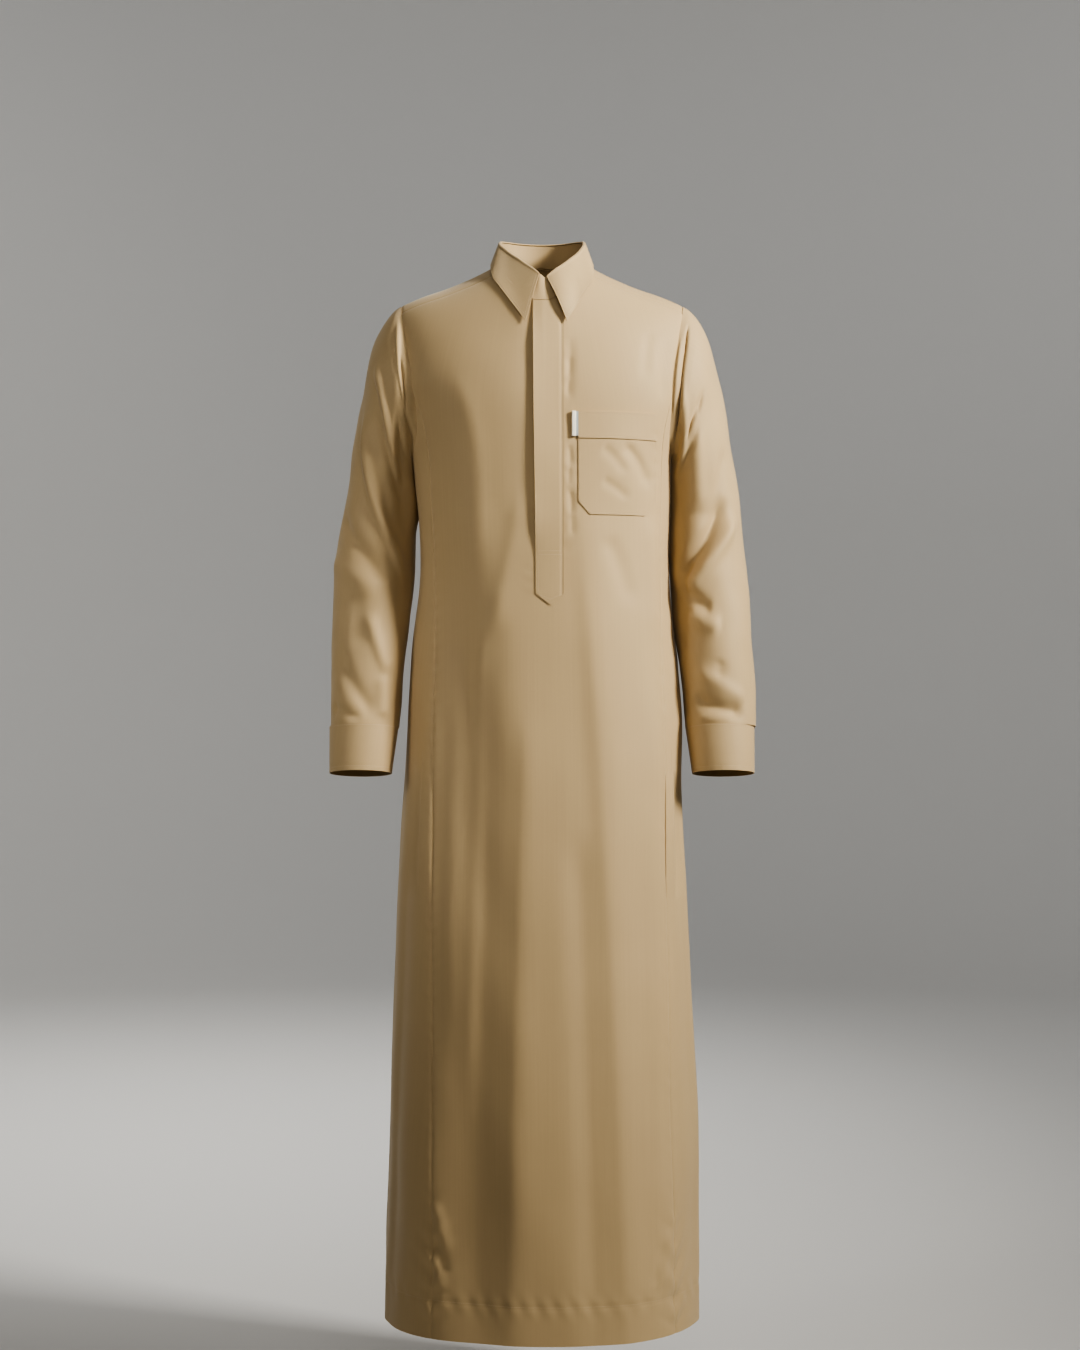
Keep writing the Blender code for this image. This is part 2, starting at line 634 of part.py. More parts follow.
def mouth_relief(down):
    """How far the lips of a side pocket's mouth part, from none at its ends to all at its middle."""
    top = level_to_down(MOUTH_TOP_LEVEL)
    end = level_to_down(MOUTH_END_LEVEL)
    share = np.clip((down - top) / (end - top), 0.0, 1.0)
    return np.sin(math.pi * share) ** MOUTH_FULLNESS


def gore_grid(side):
    """Girth angles and distances down of a side panel's points."""
    field = "right_seam" if side > 0 else "left_seam"
    downs = np.array(body_levels() + [GORE_TOP_DOWN])
    front_angle = girth_angle(seam_x(downs, field), downs)
    share = np.array(GORE_SHARES)
    angle = front_angle[:, None] + (180.0 - 2.0 * front_angle)[:, None] * share
    lower = ARMHOLES[4:]
    folded = 90.0 - np.abs(angle[-1] - 90.0)
    top = read(lower, "girth_angle", "down", folded)
    top[0] = top[-1] = GORE_TOP_DOWN
    squeeze = (GORE_BLEND_DOWN - top) / (GORE_BLEND_DOWN - GORE_TOP_DOWN)
    above = GORE_BLEND_DOWN - (GORE_BLEND_DOWN - downs)[:, None] * squeeze
    down = np.where(downs[:, None] < GORE_BLEND_DOWN, above, downs[:, None])
    return angle, down


def build_side(collection, name, side):
    """Side panel, from the front seam round to the back seam, scooped under the arm."""
    angle, down = gore_grid(side)
    points = folded_side(angle, down, side)
    normals = grid_normals(points) * side
    front, back = MOUTH_FRONT_COLUMN, MOUTH_FRONT_COLUMN + 1
    points[:, front] += normals[:, front] * (MOUTH_LIP_RISE * mouth_relief(down[:, front]))[:, None]
    points[:, back] -= normals[:, back] * (MOUTH_LIP_SINK * mouth_relief(down[:, back]))[:, None]
    keep = np.ones((points.shape[0] - 1, points.shape[1] - 1), dtype=bool)
    keep[:, front] = mouth_relief((down[1:, front] + down[:-1, front]) / 2.0) <= 0.0
    if side < 0:
        points = points[:, ::-1]
        keep = keep[:, ::-1]
    half = SEAM_GAP / 2.0
    add_shell(name, trimmed(points, left=half, right=half), BODY_CLOTH, collection, keep=keep)


def yoke_grid():
    """Places across and distances down of the yoke: front seam and neck first, back seam last."""
    columns = front_columns()
    edge = float(armhole_x(np.array(YOKE_FRONT_DOWN)))
    left = np.concatenate(([-edge], columns[columns < -NECK_CORNER_X + 1e-6]))
    right = np.concatenate((columns[columns > NECK_CORNER_X - 1e-6], [edge]))
    corner = math.degrees(math.asin(NECK_CORNER_X / NECK_HALF_WIDTH))
    turns = np.radians(np.linspace(-corner, corner - 360.0, YOKE_NECK_CELLS + 1)[1:-1])
    neck_reach = np.where(np.cos(turns) > 0.0, NECK_FRONT_DOWN, NECK_BACK_DOWN)
    top_x = np.concatenate((left, NECK_HALF_WIDTH * np.sin(turns), right))
    top_down = np.concatenate((
        np.full(len(left), -YOKE_FRONT_DOWN),
        -neck_reach * np.cos(turns),
        np.full(len(right), -YOKE_FRONT_DOWN),
    ))
    back_down = yoke_seam_down(YOKE_SEAM_EDGE)
    back_edge = float(armhole_x(back_down))
    left_share = (left[-1] - left) / (left[-1] - left[0])
    right_share = (right - right[0]) / (right[-1] - right[0])
    bottom_x = np.concatenate((
        -YOKE_BACK_HALF - (back_edge - YOKE_BACK_HALF) * left_share,
        np.linspace(-YOKE_BACK_HALF, YOKE_BACK_HALF, YOKE_NECK_CELLS + 1)[1:-1],
        YOKE_BACK_HALF + (back_edge - YOKE_BACK_HALF) * right_share,
    ))
    bow = np.concatenate((left_share - 1.0, np.zeros(len(turns)), 1.0 - right_share)) * YOKE_ROUND_NECK
    share = np.linspace(0.0, 1.0, YOKE_ROWS + 1)[:, None]
    down = top_down + (yoke_seam_down(bottom_x) - top_down) * share
    x = top_x + (bottom_x - top_x) * share + bow * 4.0 * share * (1.0 - share)
    for border, side, reach in ((0, -1.0, len(left)), (-1, 1.0, len(right))):
        drift = side * armhole_x(np.abs(down[:, border])) - x[:, border]
        steps = np.abs(np.arange(x.shape[1]) - np.arange(x.shape[1])[border]) / reach
        x = x + drift[:, None] * np.clip(1.0 - steps, 0.0, 1.0)
    return x, down


def build_yoke(collection):
    """Yoke over both shoulders and round the back of the neck."""
    points = folded_flat(*yoke_grid())
    seam = back_points()[-1, ::-1]
    for axis in (1, 2):
        points[-1, :, axis] = np.interp(points[-1, :, 0], seam[:, 0], seam[:, axis])
    half = SEAM_GAP / 2.0
    sheet = trimmed(points[:, ::-1], bottom=half, top=half, left=half, right=half)
    add_shell("yoke", sheet, BODY_CLOTH, collection)


def placket_points(first, last, low_level):
    """Front panel points between two columns, from a level up to the neck."""
    x, down, points = front_points()
    columns = slice(nearest(x[0], first), nearest(x[0], last) + 1)
    rows = slice(nearest(down[:, columns.start], level_to_down(low_level)), None)
    normals = grid_normals(points)
    return x[rows, columns], down[rows, columns], points[rows, columns], normals[rows, columns]


def build_placket(collection):
    """Overlap strip: stitched down its right edge, open along its left, pointed at its foot."""
    x, down, points, normals = placket_points(PLACKET_LEFT_X, PLACKET_RIGHT_X, PLACKET_TIP_LEVEL)
    across = (PLACKET_RIGHT_X - x) / (PLACKET_RIGHT_X - PLACKET_LEFT_X)
    opening = 1.0 - smoothstep(*PLACKET_OPEN_FADE, down)
    top = smoothstep(0.0, PLACKET_NECK_FADE, down - down[-1:, :])
    lift = PLACKET_LIFT * across ** PLACKET_LIFT_CURVE * opening * top
    sheet = points + normals * (BODY_CLOTH + SEAM_GAP + lift)[..., None]
    tip = nearest(x[0], PLACKET_CENTRE_X)
    slope = np.abs(x[0] - x[0, tip]) / np.maximum(x[0, -1] - x[0, tip], x[0, tip] - x[0, 0])
    sheet[0] += (sheet[1] - sheet[0]) * np.clip(slope, 0.0, PLACKET_POINT_LIMIT)[:, None]
    add_shell("placket", trimmed(sheet, top=PLACKET_TOP_TRIM), FINE_CLOTH, collection)


def build_underlap(collection):
    """Strip behind the slot, on the inner side of the front panel."""
    foot = SLOT_END_LEVEL - UNDERLAP_BELOW_SLOT
    _, _, points, normals = placket_points(PLACKET_LEFT_X, PLACKET_LINE_X, foot)
    sheet = points - normals * (SEAM_GAP + FINE_CLOTH)
    add_shell("placket_underlap", trimmed(sheet, top=UNDERLAP_TOP_TRIM), FINE_CLOTH, collection)


def pocket_patch(first_level, last_level, layers):
    """Front panel points under the pocket between two levels, moved out past the layers beneath."""
    x, down, points = front_points()
    columns = slice(nearest(x[0], POCKET_LEFT_X), nearest(x[0], POCKET_RIGHT_X) + 1)
    first = nearest(down[:, columns.start], level_to_down(first_level))
    last = nearest(down[:, columns.start], level_to_down(last_level))
    distance = BODY_CLOTH + SEAM_GAP + layers * (FINE_CLOTH + SEAM_GAP)
    return (points + grid_normals(points) * distance)[first:last + 1, columns]


def build_pocket(collection):
    """Patch pocket with both lower corners cut across, and the stitched band over its mouth."""
    patch = pocket_patch(POCKET_END_LEVEL, POCKET_TOP_LEVEL, 0)
    rows, columns = patch.shape[:2]
    number = np.arange(rows * columns).reshape(rows, columns)
    faces = []
    for row in range(rows - 1):
        for place in range(columns - 1):
            low_left, low_right = int(number[row, place]), int(number[row, place + 1])
            high_right, high_left = int(number[row + 1, place + 1]), int(number[row + 1, place])
            if row == 0 and place == 0:
                faces.append((low_right, high_right, high_left))
            elif row == 0 and place == columns - 2:
                faces.append((low_left, high_right, high_left))
            else:
                faces.append((low_left, low_right, high_right, high_left))
    add_solid("chest_pocket", patch.reshape(-1, 3), faces, FINE_CLOTH, collection)
    band = pocket_patch(BAND_END_LEVEL, POCKET_TOP_LEVEL, 1)
    add_shell("pocket_band", band, FINE_CLOTH, collection)


def build_tab(collection):
    """Small stiff bar folded over the band's left end, with no marking."""
    curve = bpy.data.curves.new("pocket_tab", "CURVE")
    curve.dimensions = "2D"
    curve.fill_mode = "BOTH"
    curve.extrude = TAB_HEIGHT / 2.0
    spline = curve.splines.new("POLY")
    spline.points.add(len(TAB_CORNERS) - 1)
    for point, corner in zip(spline.points, TAB_CORNERS):
        point.co = (TAB_WIDTH / 2.0 - corner.across, corner.out, 0.0, 1.0)
    spline.use_cyclic_u = True
    tab = bpy.data.objects.new("pocket_tab", curve)
    collection.objects.link(tab)
    curve.materials.append(material("pocket_tab_finish"))
    middle = (POCKET_TOP_LEVEL + BAND_END_LEVEL) / 2.0 + TAB_RISE
    x = np.array([[TAB_LEFT_X + TAB_WIDTH / 2.0]])
    seat = folded_flat(x, np.array([[-level_to_down(middle)]]))[0, 0]
    lean = folded_flat(x + TAB_WIDTH / 2.0, np.array([[-level_to_down(middle)]]))[0, 0] - seat
    tab.location = seat
    tab.rotation_euler = (0.0, 0.0, math.atan2(lean[1], lean[0]) + math.pi)
    return tab


def neck_point(turn):
    """Body point on the neckline; turn in degrees, 0 front middle, 90 the wearer's left."""
    angle = np.radians(turn)
    reach = np.where(np.cos(angle) > 0.0, NECK_FRONT_DOWN, NECK_BACK_DOWN)
    x = NECK_HALF_WIDTH * np.sin(angle)
    q = -reach * np.cos(angle)
    normals = surface_normals(flat_point, x, q, 1.0)
    return flat_point(x, q) + normals * (BODY_CLOTH + STAND_SEAT)


def fold_point(turn):
    """Point on the collar's fold line."""
    angle = np.radians(turn)
    depth = np.where(np.cos(angle) > 0.0, FOLD_FRONT_DEPTH, FOLD_BACK_DEPTH)
    fold_turn = np.degrees(np.abs(np.arctan2(np.sin(angle), np.cos(angle))))
    height = read(FOLD_LINES, "turn", "height", fold_turn)
    return np.stack((FOLD_HALF_WIDTH * np.sin(angle), -depth * np.cos(angle), height), axis=-1)


def outward(turn):
    """Level direction out from the neck's middle."""
    angle = np.radians(turn)
    return np.stack((np.sin(angle), -np.cos(angle), np.zeros_like(angle)), axis=-1)


def build_stand(collection):
    """Collar stand: a band round the neck whose inner end is tucked behind its outer end."""
    turns = np.linspace(STAND_INNER_END, STAND_OUTER_END, STAND_CELLS + 1)
    start = turns[0] - turns
    tuck = STAND_TUCK * (1.0 - smoothstep(*STAND_TUCK_FADE, start))
    low = neck_point(turns) - outward(turns) * tuck[:, None]
    high = fold_point(turns) - outward(turns) * tuck[:, None]
    low[..., 2] += tuck * STAND_TUCK_LIFT
    share = np.linspace(0.0, 1.0, STAND_ROWS + 1)[:, None, None]
    sheet = low + (high - low) * share
    add_shell("collar_stand", sheet[:, ::-1], FINE_CLOTH, collection)


def build_fall(collection):
    """Collar fall: rolled over the stand's top edge and down to two pointed leaves."""
    half = np.linspace(0.0, 1.0, FALL_HALF_STEPS)
    steps = np.concatenate((half, half[-2::-1]))
    side = np.where(np.arange(len(steps)) < FALL_HALF_STEPS, -1.0, 1.0)
    first_turn = np.where(side < 0.0, LEAF_LEFT_TURN, LEAF_RIGHT_TURN)
    turn = side * (first_turn + (180.0 - first_turn) * steps)
    fold = fold_point(turn)
    out = outward(turn)
    edge_x = read(LEAF_EDGES, "step", "out", steps) * side
    point_shift = np.where(side < 0.0, LEAF_LEFT_X, LEAF_RIGHT_X) - LEAF_EDGES[0].out
    edge_x += side * point_shift * (1.0 - smoothstep(0.0, LEAF_POINT_FADE, steps))
    edge_down = read(LEAF_EDGES, "step", "down", steps)
    clear = read(LEAF_EDGES, "step", "clear", steps)
    standoff = np.where(side > 0.0, LEAF_RIGHT_STANDOFF, 0.0)
    clear += standoff * (1.0 - smoothstep(0.0, LEAF_STANDOFF_FADE, steps))
    normals = surface_normals(flat_point, edge_x, edge_down, 1.0)
    edge = flat_point(edge_x, edge_down) + normals * (BODY_CLOTH + clear)[:, None]
    rise = np.array([0.0, 0.0, 1.0])
    rows = [fold + out * roll.out + rise * roll.up for roll in FOLD_ROLL]
    shoulder = rows.pop()
    for share in FALL_ROWS:
        bulge = COLLAR_BULGE * math.sin(math.pi * share)
        rows.append(shoulder + (edge - shoulder) * share + out * bulge)
    sheet = np.stack(rows)[::-1, ::-1]
    add_shell("collar_fall", sheet, FINE_CLOTH, collection)


def armhole_point(turn, side):
    """Body point on the armhole; turn in degrees, 0 the shoulder, 90 front, 180 under the arm."""
    folded = 180.0 - np.abs(turn - 180.0)
    angle = read(ARMHOLES, "turn", "girth_angle", folded)
    angle = np.where(turn > 180.0, 180.0 - angle, angle)
    return folded_side(angle, read(ARMHOLES, "turn", "down", folded), side)


def arm_rings(sections, side):
    """Rings through a table of sleeve sections, columns from the outer edge round by the front."""
    turn = np.arange(SLEEVE_SIDES) * 360.0 / SLEEVE_SIDES
    angle = np.radians(turn)
    rings = []
    for row in sections:
        outer = np.array((row.outer_x, 0.0, row.outer_z))
        inner = np.array((row.inner_x, 0.0, row.inner_z))
        middle = (outer + inner) / 2.0 + np.array((0.0, row.back, 0.0))
        reach = (outer - inner) / 2.0
        front = np.array((0.0, -1.0, row.pitch)) * row.half_depth
        ring = middle + reach * np.cos(angle)[:, None] + front * np.sin(angle)[:, None]
        rings.append(ring * np.array((side, 1.0, 1.0)))
    return turn, np.stack(rings)


def sleeve_relief(rings, turn, folds):
    """Sum of a sleeve's folds at each ring point, fading to none at the armhole and the cuff."""
    count = rings.shape[0]
    length = np.linspace(0.0, 1.0, count)
    relief = np.zeros(rings.shape[:2])
    for fold in folds:
        for lap in (-360.0, 0.0, 360.0):
            plane = np.stack(np.broadcast_arrays(
                np.radians(turn + lap)[None, :] * SLEEVE_RADIUS, length[:, None] * SLEEVE_LENGTH), axis=-1)
            places = [(math.radians(place[0]) * SLEEVE_RADIUS, place[1] * SLEEVE_LENGTH)
                      for place in (fold.start, fold.middle, fold.end)]
            relief += fold_rise(plane, SleeveFold(*places, fold.half_width, fold.rise))
    ends = smoothstep(0.0, SLEEVE_TOP_FADE, length) * smoothstep(0.0, SLEEVE_CUFF_FADE, 1.0 - length)
    return relief * ends[:, None]


def sleeve_rings(side, folds):
    """A sleeve's rings, the first eased on to the armhole."""
    turn, rings = arm_rings(ARM_SECTIONS, side)
    hole = armhole_point(turn, side)
    folded = 180.0 - np.abs(turn - 180.0)
    under = smoothstep(*UNDERARM_FADE, folded)
    hole[:, 0] += side * (ARMHOLE_SEAT + ARMHOLE_STANDOFF * smoothstep(*ARMHOLE_STANDOFF_FADE, folded))
    hole[:, 2] += UNDERARM_STANDOFF * under
    ease = hole - rings[0]
    for row, share in enumerate(ARMHOLE_EASE):
        rings[row] += ease * share * (1.0 if row == 0 else (1.0 - under)[:, None])
    normals = grid_normals(rings, closed=True) * side
    return rings + normals * sleeve_relief(rings, turn, folds)[..., None]


def build_sleeve(collection, word, side, folds):
    """One sleeve, from the armhole to the cuff seam, and its cuff."""
    rings = sleeve_rings(side, folds)
    _, cuff = arm_rings(CUFF_SECTIONS, side)
    half = SEAM_GAP / 2.0
    for name, grid, ends in (("sleeve_" + word, rings, (0.0, half)), ("cuff_" + word, cuff, (half, 0.0))):
        sheet = grid if side < 0 else grid[:, ::-1]
        sheet = trimmed(sheet, bottom=ends[0], top=ends[1])
        add_shell(name, sheet[::-1], BODY_CLOTH, collection, closed=True)


def build_robe():
    for old in list(bpy.data.objects):
        bpy.data.objects.remove(old, do_unlink=True)
    collection = bpy.data.collections.new("thobe_robe")
    bpy.context.scene.collection.children.link(collection)
    build_front(collection)
    build_back(collection)
    build_side(collection, "side_panel_left", -1)
    build_side(collection, "side_panel_right", 1)
    build_yoke(collection)
    build_placket(collection)
    build_underlap(collection)
    build_pocket(collection)
    build_tab(collection)
    build_stand(collection)
    build_fall(collection)
    build_sleeve(collection, "left", -1, LEFT_SLEEVE_FOLDS)
    build_sleeve(collection, "right", 1, RIGHT_SLEEVE_FOLDS)


build_robe()
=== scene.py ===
"""Thobe robe, dressed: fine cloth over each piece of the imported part, its thread, and a plain stage.

Metres, +Z up, front at -Y, origin at the middle of the neck base; turns and girth angles are degrees, and
shares run from 0 to 1. The body's cloth pieces are patches of one worked-out surface, with their folds,
puckers and stitches placed by the tables below.
"""

import math
from collections import namedtuple

import bpy
import numpy as np
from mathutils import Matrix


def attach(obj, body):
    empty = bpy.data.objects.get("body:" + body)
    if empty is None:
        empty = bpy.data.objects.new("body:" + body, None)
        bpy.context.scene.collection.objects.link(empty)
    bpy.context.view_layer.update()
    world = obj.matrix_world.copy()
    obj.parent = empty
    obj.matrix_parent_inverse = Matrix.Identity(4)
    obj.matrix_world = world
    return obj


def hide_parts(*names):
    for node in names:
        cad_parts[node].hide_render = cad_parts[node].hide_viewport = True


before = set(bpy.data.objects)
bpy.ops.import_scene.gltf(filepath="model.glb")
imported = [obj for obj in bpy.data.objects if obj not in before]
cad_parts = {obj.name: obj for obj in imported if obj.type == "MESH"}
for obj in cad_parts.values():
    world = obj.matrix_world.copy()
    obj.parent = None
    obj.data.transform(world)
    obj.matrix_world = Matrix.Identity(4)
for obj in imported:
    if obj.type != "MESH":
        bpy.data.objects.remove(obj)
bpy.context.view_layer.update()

bl_info = {
    "name": "Thobe robe",
    "version": (1, 0, 0),
    "blender": (4, 5, 0),
    "location": "3D View > Sidebar > Thobe",
    "description": "Dresses a thobe robe with fine cloth, folds, stitching and a plain stage",
    "category": "Add Mesh",
}

# Cloth and seams
BODY_CLOTH = 0.0012
FINE_CLOTH = 0.0010
SEAM_GAP = 0.0003
SEAM_DIP = 0.0009
SEAM_DIP_WIDTH = 0.0022

# Grid cells: their size, and the steps beside an edge as shares of its fine stretch
CELL = 0.0040
FINE_CELL = 0.0020
POCKET_CELL = 0.0025
EDGE_SHARES = np.array((0.0, 0.02, 0.05, 0.10, 0.18, 0.30, 0.45, 0.62, 0.80))
BACK_FINE_SHARE = 0.07
BACK_MEAN_WIDTH = 0.34
SIDE_FINE_SHARE = 0.05
SIDE_MEAN_WIDTH = 0.27
YOKE_FINE_SHARE = 0.10
YOKE_MEAN_DEPTH = 0.19
TOLERANCE = 1e-6
UP = np.array((0.0, 0.0, 1.0))

# Body
CHEST_LEVEL = -0.205
CREST = 0.250
HEM_LEVEL = -1.437
ROUNDNESS = 2.3
YOKE_FRONT_DOWN = 0.067
YOKE_SEAM_LEVEL = -0.105
YOKE_SEAM_EDGE = 0.183
YOKE_BACK_HALF = 0.075
YOKE_ROUND_NECK = 0.013
YOKE_NECK_CELLS = 70
GORE_TOP_DOWN = 0.223
GORE_BLEND_DOWN = 0.450
LEFT_COLUMN_X = -0.138
HEM_STITCH_LEVEL = -1.387

# Side pocket mouths, between two shares of each side panel's width
MOUTH_SHARES = (0.1395, 0.1405)
MOUTH_TOP_LEVEL = -0.690
MOUTH_END_LEVEL = -0.860
MOUTH_LIP_RISE = 0.0045
MOUTH_LIP_SINK = 0.0065
MOUTH_PARTING = 0.0032
MOUTH_FULLNESS = 0.8
MOUTH_LIP_WIDTH = 0.020

# Neck and collar
NECK_HALF_WIDTH = 0.0640
NECK_FRONT_DOWN = 0.1476
NECK_BACK_DOWN = 0.083
NECK_CORNER_X = 0.0586
FOLD_HALF_WIDTH = 0.0564
FOLD_FRONT_DEPTH = 0.076
FOLD_BACK_DEPTH = 0.056
FOLD_LOWEST_TURN = 3.5
STAND_INNER_END = 12.0
STAND_OUTER_END = -372.0
STAND_TUCK = 0.0023
STAND_TUCK_FADE = (30.0, 90.0)
STAND_TUCK_LIFT = 0.3
STAND_SEAT = 0.0004
STAND_FRONT_RISE = 0.0022
STAND_FRONT_REACH = 9.0
STAND_ROWS = 12
LEAF_LEFT_TURN = 4.0
LEAF_RIGHT_TURN = 7.0
LEAF_LEFT_OPENING = 0.0020
LEAF_RIGHT_OPENING = 0.0065
LEAF_OPENING_FADE = 0.24
FOLD_FLAT_TURNS = (4.0, 80.0)
FOLD_FLAT_LEFT = 0.85
FOLD_FLAT_RIGHT = 0.35
COLLAR_BULGE = 0.0005
COLLAR_STEPS = 110
FALL_ROWS = 24
FALL_ROLL_ROWS = 10

# Placket, slot and pocket
PLACKET_LEFT_X = -0.0122
PLACKET_RIGHT_X = 0.0295
PLACKET_CENTRE_X = 0.0080
PLACKET_EDGE_DRIFT = 0.0038
PLACKET_CENTRE_DRIFT = 0.0028
PLACKET_LINE_X = 0.0185
SLOT_LEFT_X = -0.0040
PLACKET_CORNER_LEVEL = -0.4496
PLACKET_TIP_LEVEL = -0.4648
SLOT_END_LEVEL = -0.3792
PLACKET_LIFT = 0.0045
PLACKET_LIFT_CURVE = 1.6
PLACKET_OPEN_FADE = (0.385, 0.450)
PLACKET_NECK_FADE = 0.050
PLACKET_GROOVE = 0.0007
PLACKET_GROOVE_INSET = 0.0035
PLACKET_GROOVE_WIDTH = 0.0016
PLACKET_NECK_TRIM = 0.0004
PLACKET_TRIM_FADE = 0.03
PLACKET_SLOPE_END = 0.97
DENT_COLUMNS = 6
UNDERLAP_BELOW_SLOT = 0.035
POCKET_LEFT_X = 0.0482
POCKET_RIGHT_X = 0.1527
POCKET_TOP_LEVEL = -0.2066
BAND_END_LEVEL = -0.2425
CHAMFER_LEVEL = -0.3266
CHAMFER_WIDTH = 0.0150
POCKET_END_LEVEL = -0.3440
POCKET_BELLY = 0.0014
TAB_HEIGHT = 0.034
TAB_WIDTH = 0.0088
TAB_LEFT_X = 0.0392
TAB_RISE = 0.001
TAB_BAR_WIDTH = 0.0058
TAB_BAR_OUT = (0.0018, 0.0056)
TAB_BAR_SIDES = 32
TAB_BAR_ROUNDNESS = 5.0
TAB_BAR_CORNER = 0.0009
TAB_BAR_CORNER_STEPS = 6
TAB_WING_OUT = 0.0045
TAB_WING_WALL = 0.0006
TAB_WING_TUCK = 0.0010
TAB_WING_SHORTER = 0.0016
TAB_WING_GRID = (12, 6)

# Sleeves and cuffs
SLEEVE_COLUMNS = 144
SLEEVE_CELL = 0.0036
UNDERARM_FADE = (60.0, 135.0)
ARMHOLE_EASE = (1.0, 0.55, 0.22, 0.06, 0.0)
SLEEVE_TOP_FADE = 0.025
SLEEVE_CUFF_FADE = 0.020
SLEEVE_LENGTH = 0.58
SLEEVE_RADIUS = 0.052
SLEEVE_DRIFT_RATE = 2.0
SLEEVE_DRIFT_FADE = (0.0, 4.0)
CUFF_RINGS = 26

# Folds
FOLD_SAMPLES = 24
FOLD_END_TAPER = 0.22
FOLD_REACH = 3.2
FOLD_FACING = (0.25, 0.65)
RIPPLE_FACING = 0.5

# Thread
STITCH_SIDES = 6
STITCH_RINGS = ((-0.34, 0.80), (0.0, 1.0), (0.34, 0.80))
THREAD_SEAT = 0.00005
LAST_ROW_MARGIN = 1.001

# Cloth surface: its gloss and sheen, its slanted ribs and fibres, and its dye
CLOTH_SHADER = {
    "Roughness": 0.62,
    "Specular IOR Level": 0.30,
    "Sheen Weight": 0.30,
    "Sheen Roughness": 0.45,
    "Sheen Tint": (1.0, 0.93, 0.80, 1.0),
}
TWILL_PITCH = 0.0011
TWILL_SLANT = 1.10
WAVE_RADIANS_A_UNIT = 20.0
RIB_WAVER = {"Distortion": 1.2, "Detail": 2.0, "Detail Scale": 2.0}
FIBRES_A_METRE = (2200.0, 320.0, 1.0)
WARP_STREAKS_A_METRE = (420.0, 5.0, 1.0)
CLOUDS_A_METRE = 9.0
FINE_DETAIL = 3.0
CLOUD_DETAIL = 4.0
WEAVE_RELIEF = {"Strength": 0.30, "Distance": 0.00012}
DYE_TONES = ((0.25, 0.96), (0.75, 1.04))

# Thread, tab and floor surfaces
THREAD_ROUGHNESS = 0.55
BAR_ROUGHNESS = 0.30
WING_ROUGHNESS = 0.25
GLOSS_UNEVENNESS = 0.08
GLOSS_GRAINS_A_METRE = 900.0
FLOOR_SHADER = {"Roughness": 0.9, "Specular IOR Level": 0.1}

# Stage
COVE_MIDDLE = 0.02
COVE_FLAT = 4.6
COVE_BEND = 1.6
COVE_HEIGHT = 4.5
COVE_BEND_STEPS = 9
COVE_SIDES = 96
BACKDROP_STRENGTH = 0.08
CAMERA_PLACE = (-0.0027, -3.4, -0.5586)
CAMERA_LENS = 65.73
CAMERA_FILM_WIDTH = 36.0

# Soft square lights: what each looks at, its side in metres, its watts and its beam's angle in degrees
Lamp = namedtuple("Lamp", "name place target size power tint spread")
LAMPS = (
    Lamp("key", (2.68, -1.36, 1.15), (0.0, 0.0, 0.0), 0.65, 34.5, (1.0, 0.98, 0.94), 82.0),
    Lamp("front_light", (0.5, -2.9, 0.9), (0.0, 0.0, -0.1), 1.6, 4.6, (1.0, 0.985, 0.955), 90.0),
    Lamp("sleeve_light", (-2.2, -1.5, 0.3), (-0.28, 0.0, -0.46), 0.8, 0.62, (1.0, 0.985, 0.96), 26.0),
    Lamp("floor_light", (-0.7, 2.1, 2.6), (-0.8, 1.8, -1.5), 2.4, 17.0, (1.0, 0.99, 0.97), 70.0),
    Lamp("fill", (-2.5, -2.4, 0.2), (0.0, 0.0, -0.7), 2.0, 1.75, (1.0, 0.98, 0.96), 160.0),
    Lamp("wall_light", (-2.4, 1.9, 2.2), (-1.2, 6.0, 0.0), 1.6, 40.0, (0.98, 0.99, 1.0), 160.0),
    Lamp("wall_light", (2.4, 1.9, 2.2), (1.2, 6.0, 0.0), 1.6, 40.0, (0.98, 0.99, 1.0), 160.0),
)

# Small steps for normals
DISTANCE_STEP = 0.0005
ANGLE_STEP = 0.05
WIDEST_DISTANCE = 10.0

# The body's ring at each distance down from the shoulder ridge: half its width, its depth in front and
# behind, and how far out its side seams lie
Girth = namedtuple("Girth", "down half_width front back left_seam right_seam")
GIRTHS = (
    Girth(0.000, 0.2150, 0.110, 0.112, 0.175, 0.175),
    Girth(0.100, 0.2140, 0.111, 0.116, 0.175, 0.175),
    Girth(0.180, 0.2060, 0.113, 0.119, 0.175, 0.175),
    Girth(0.223, 0.1975, 0.115, 0.120, 0.1748, 0.1748),
    Girth(0.265, 0.1870, 0.116, 0.119, 0.1640, 0.1660),
    Girth(0.315, 0.1760, 0.116, 0.115, 0.1560, 0.1620),
    Girth(0.365, 0.1705, 0.115, 0.109, 0.1530, 0.1595),
    Girth(0.455, 0.1675, 0.113, 0.101, 0.1515, 0.1580),
    Girth(0.585, 0.1790, 0.116, 0.114, 0.1515, 0.1615),
    Girth(0.735, 0.1868, 0.126, 0.130, 0.1515, 0.1645),
    Girth(0.845, 0.1912, 0.134, 0.138, 0.1510, 0.1655),
    Girth(1.055, 0.2000, 0.150, 0.153, 0.1500, 0.1685),
    Girth(1.285, 0.2098, 0.167, 0.168, 0.1490, 0.1735),
    Girth(1.482, 0.2138, 0.178, 0.178, 0.1485, 0.1785),
)

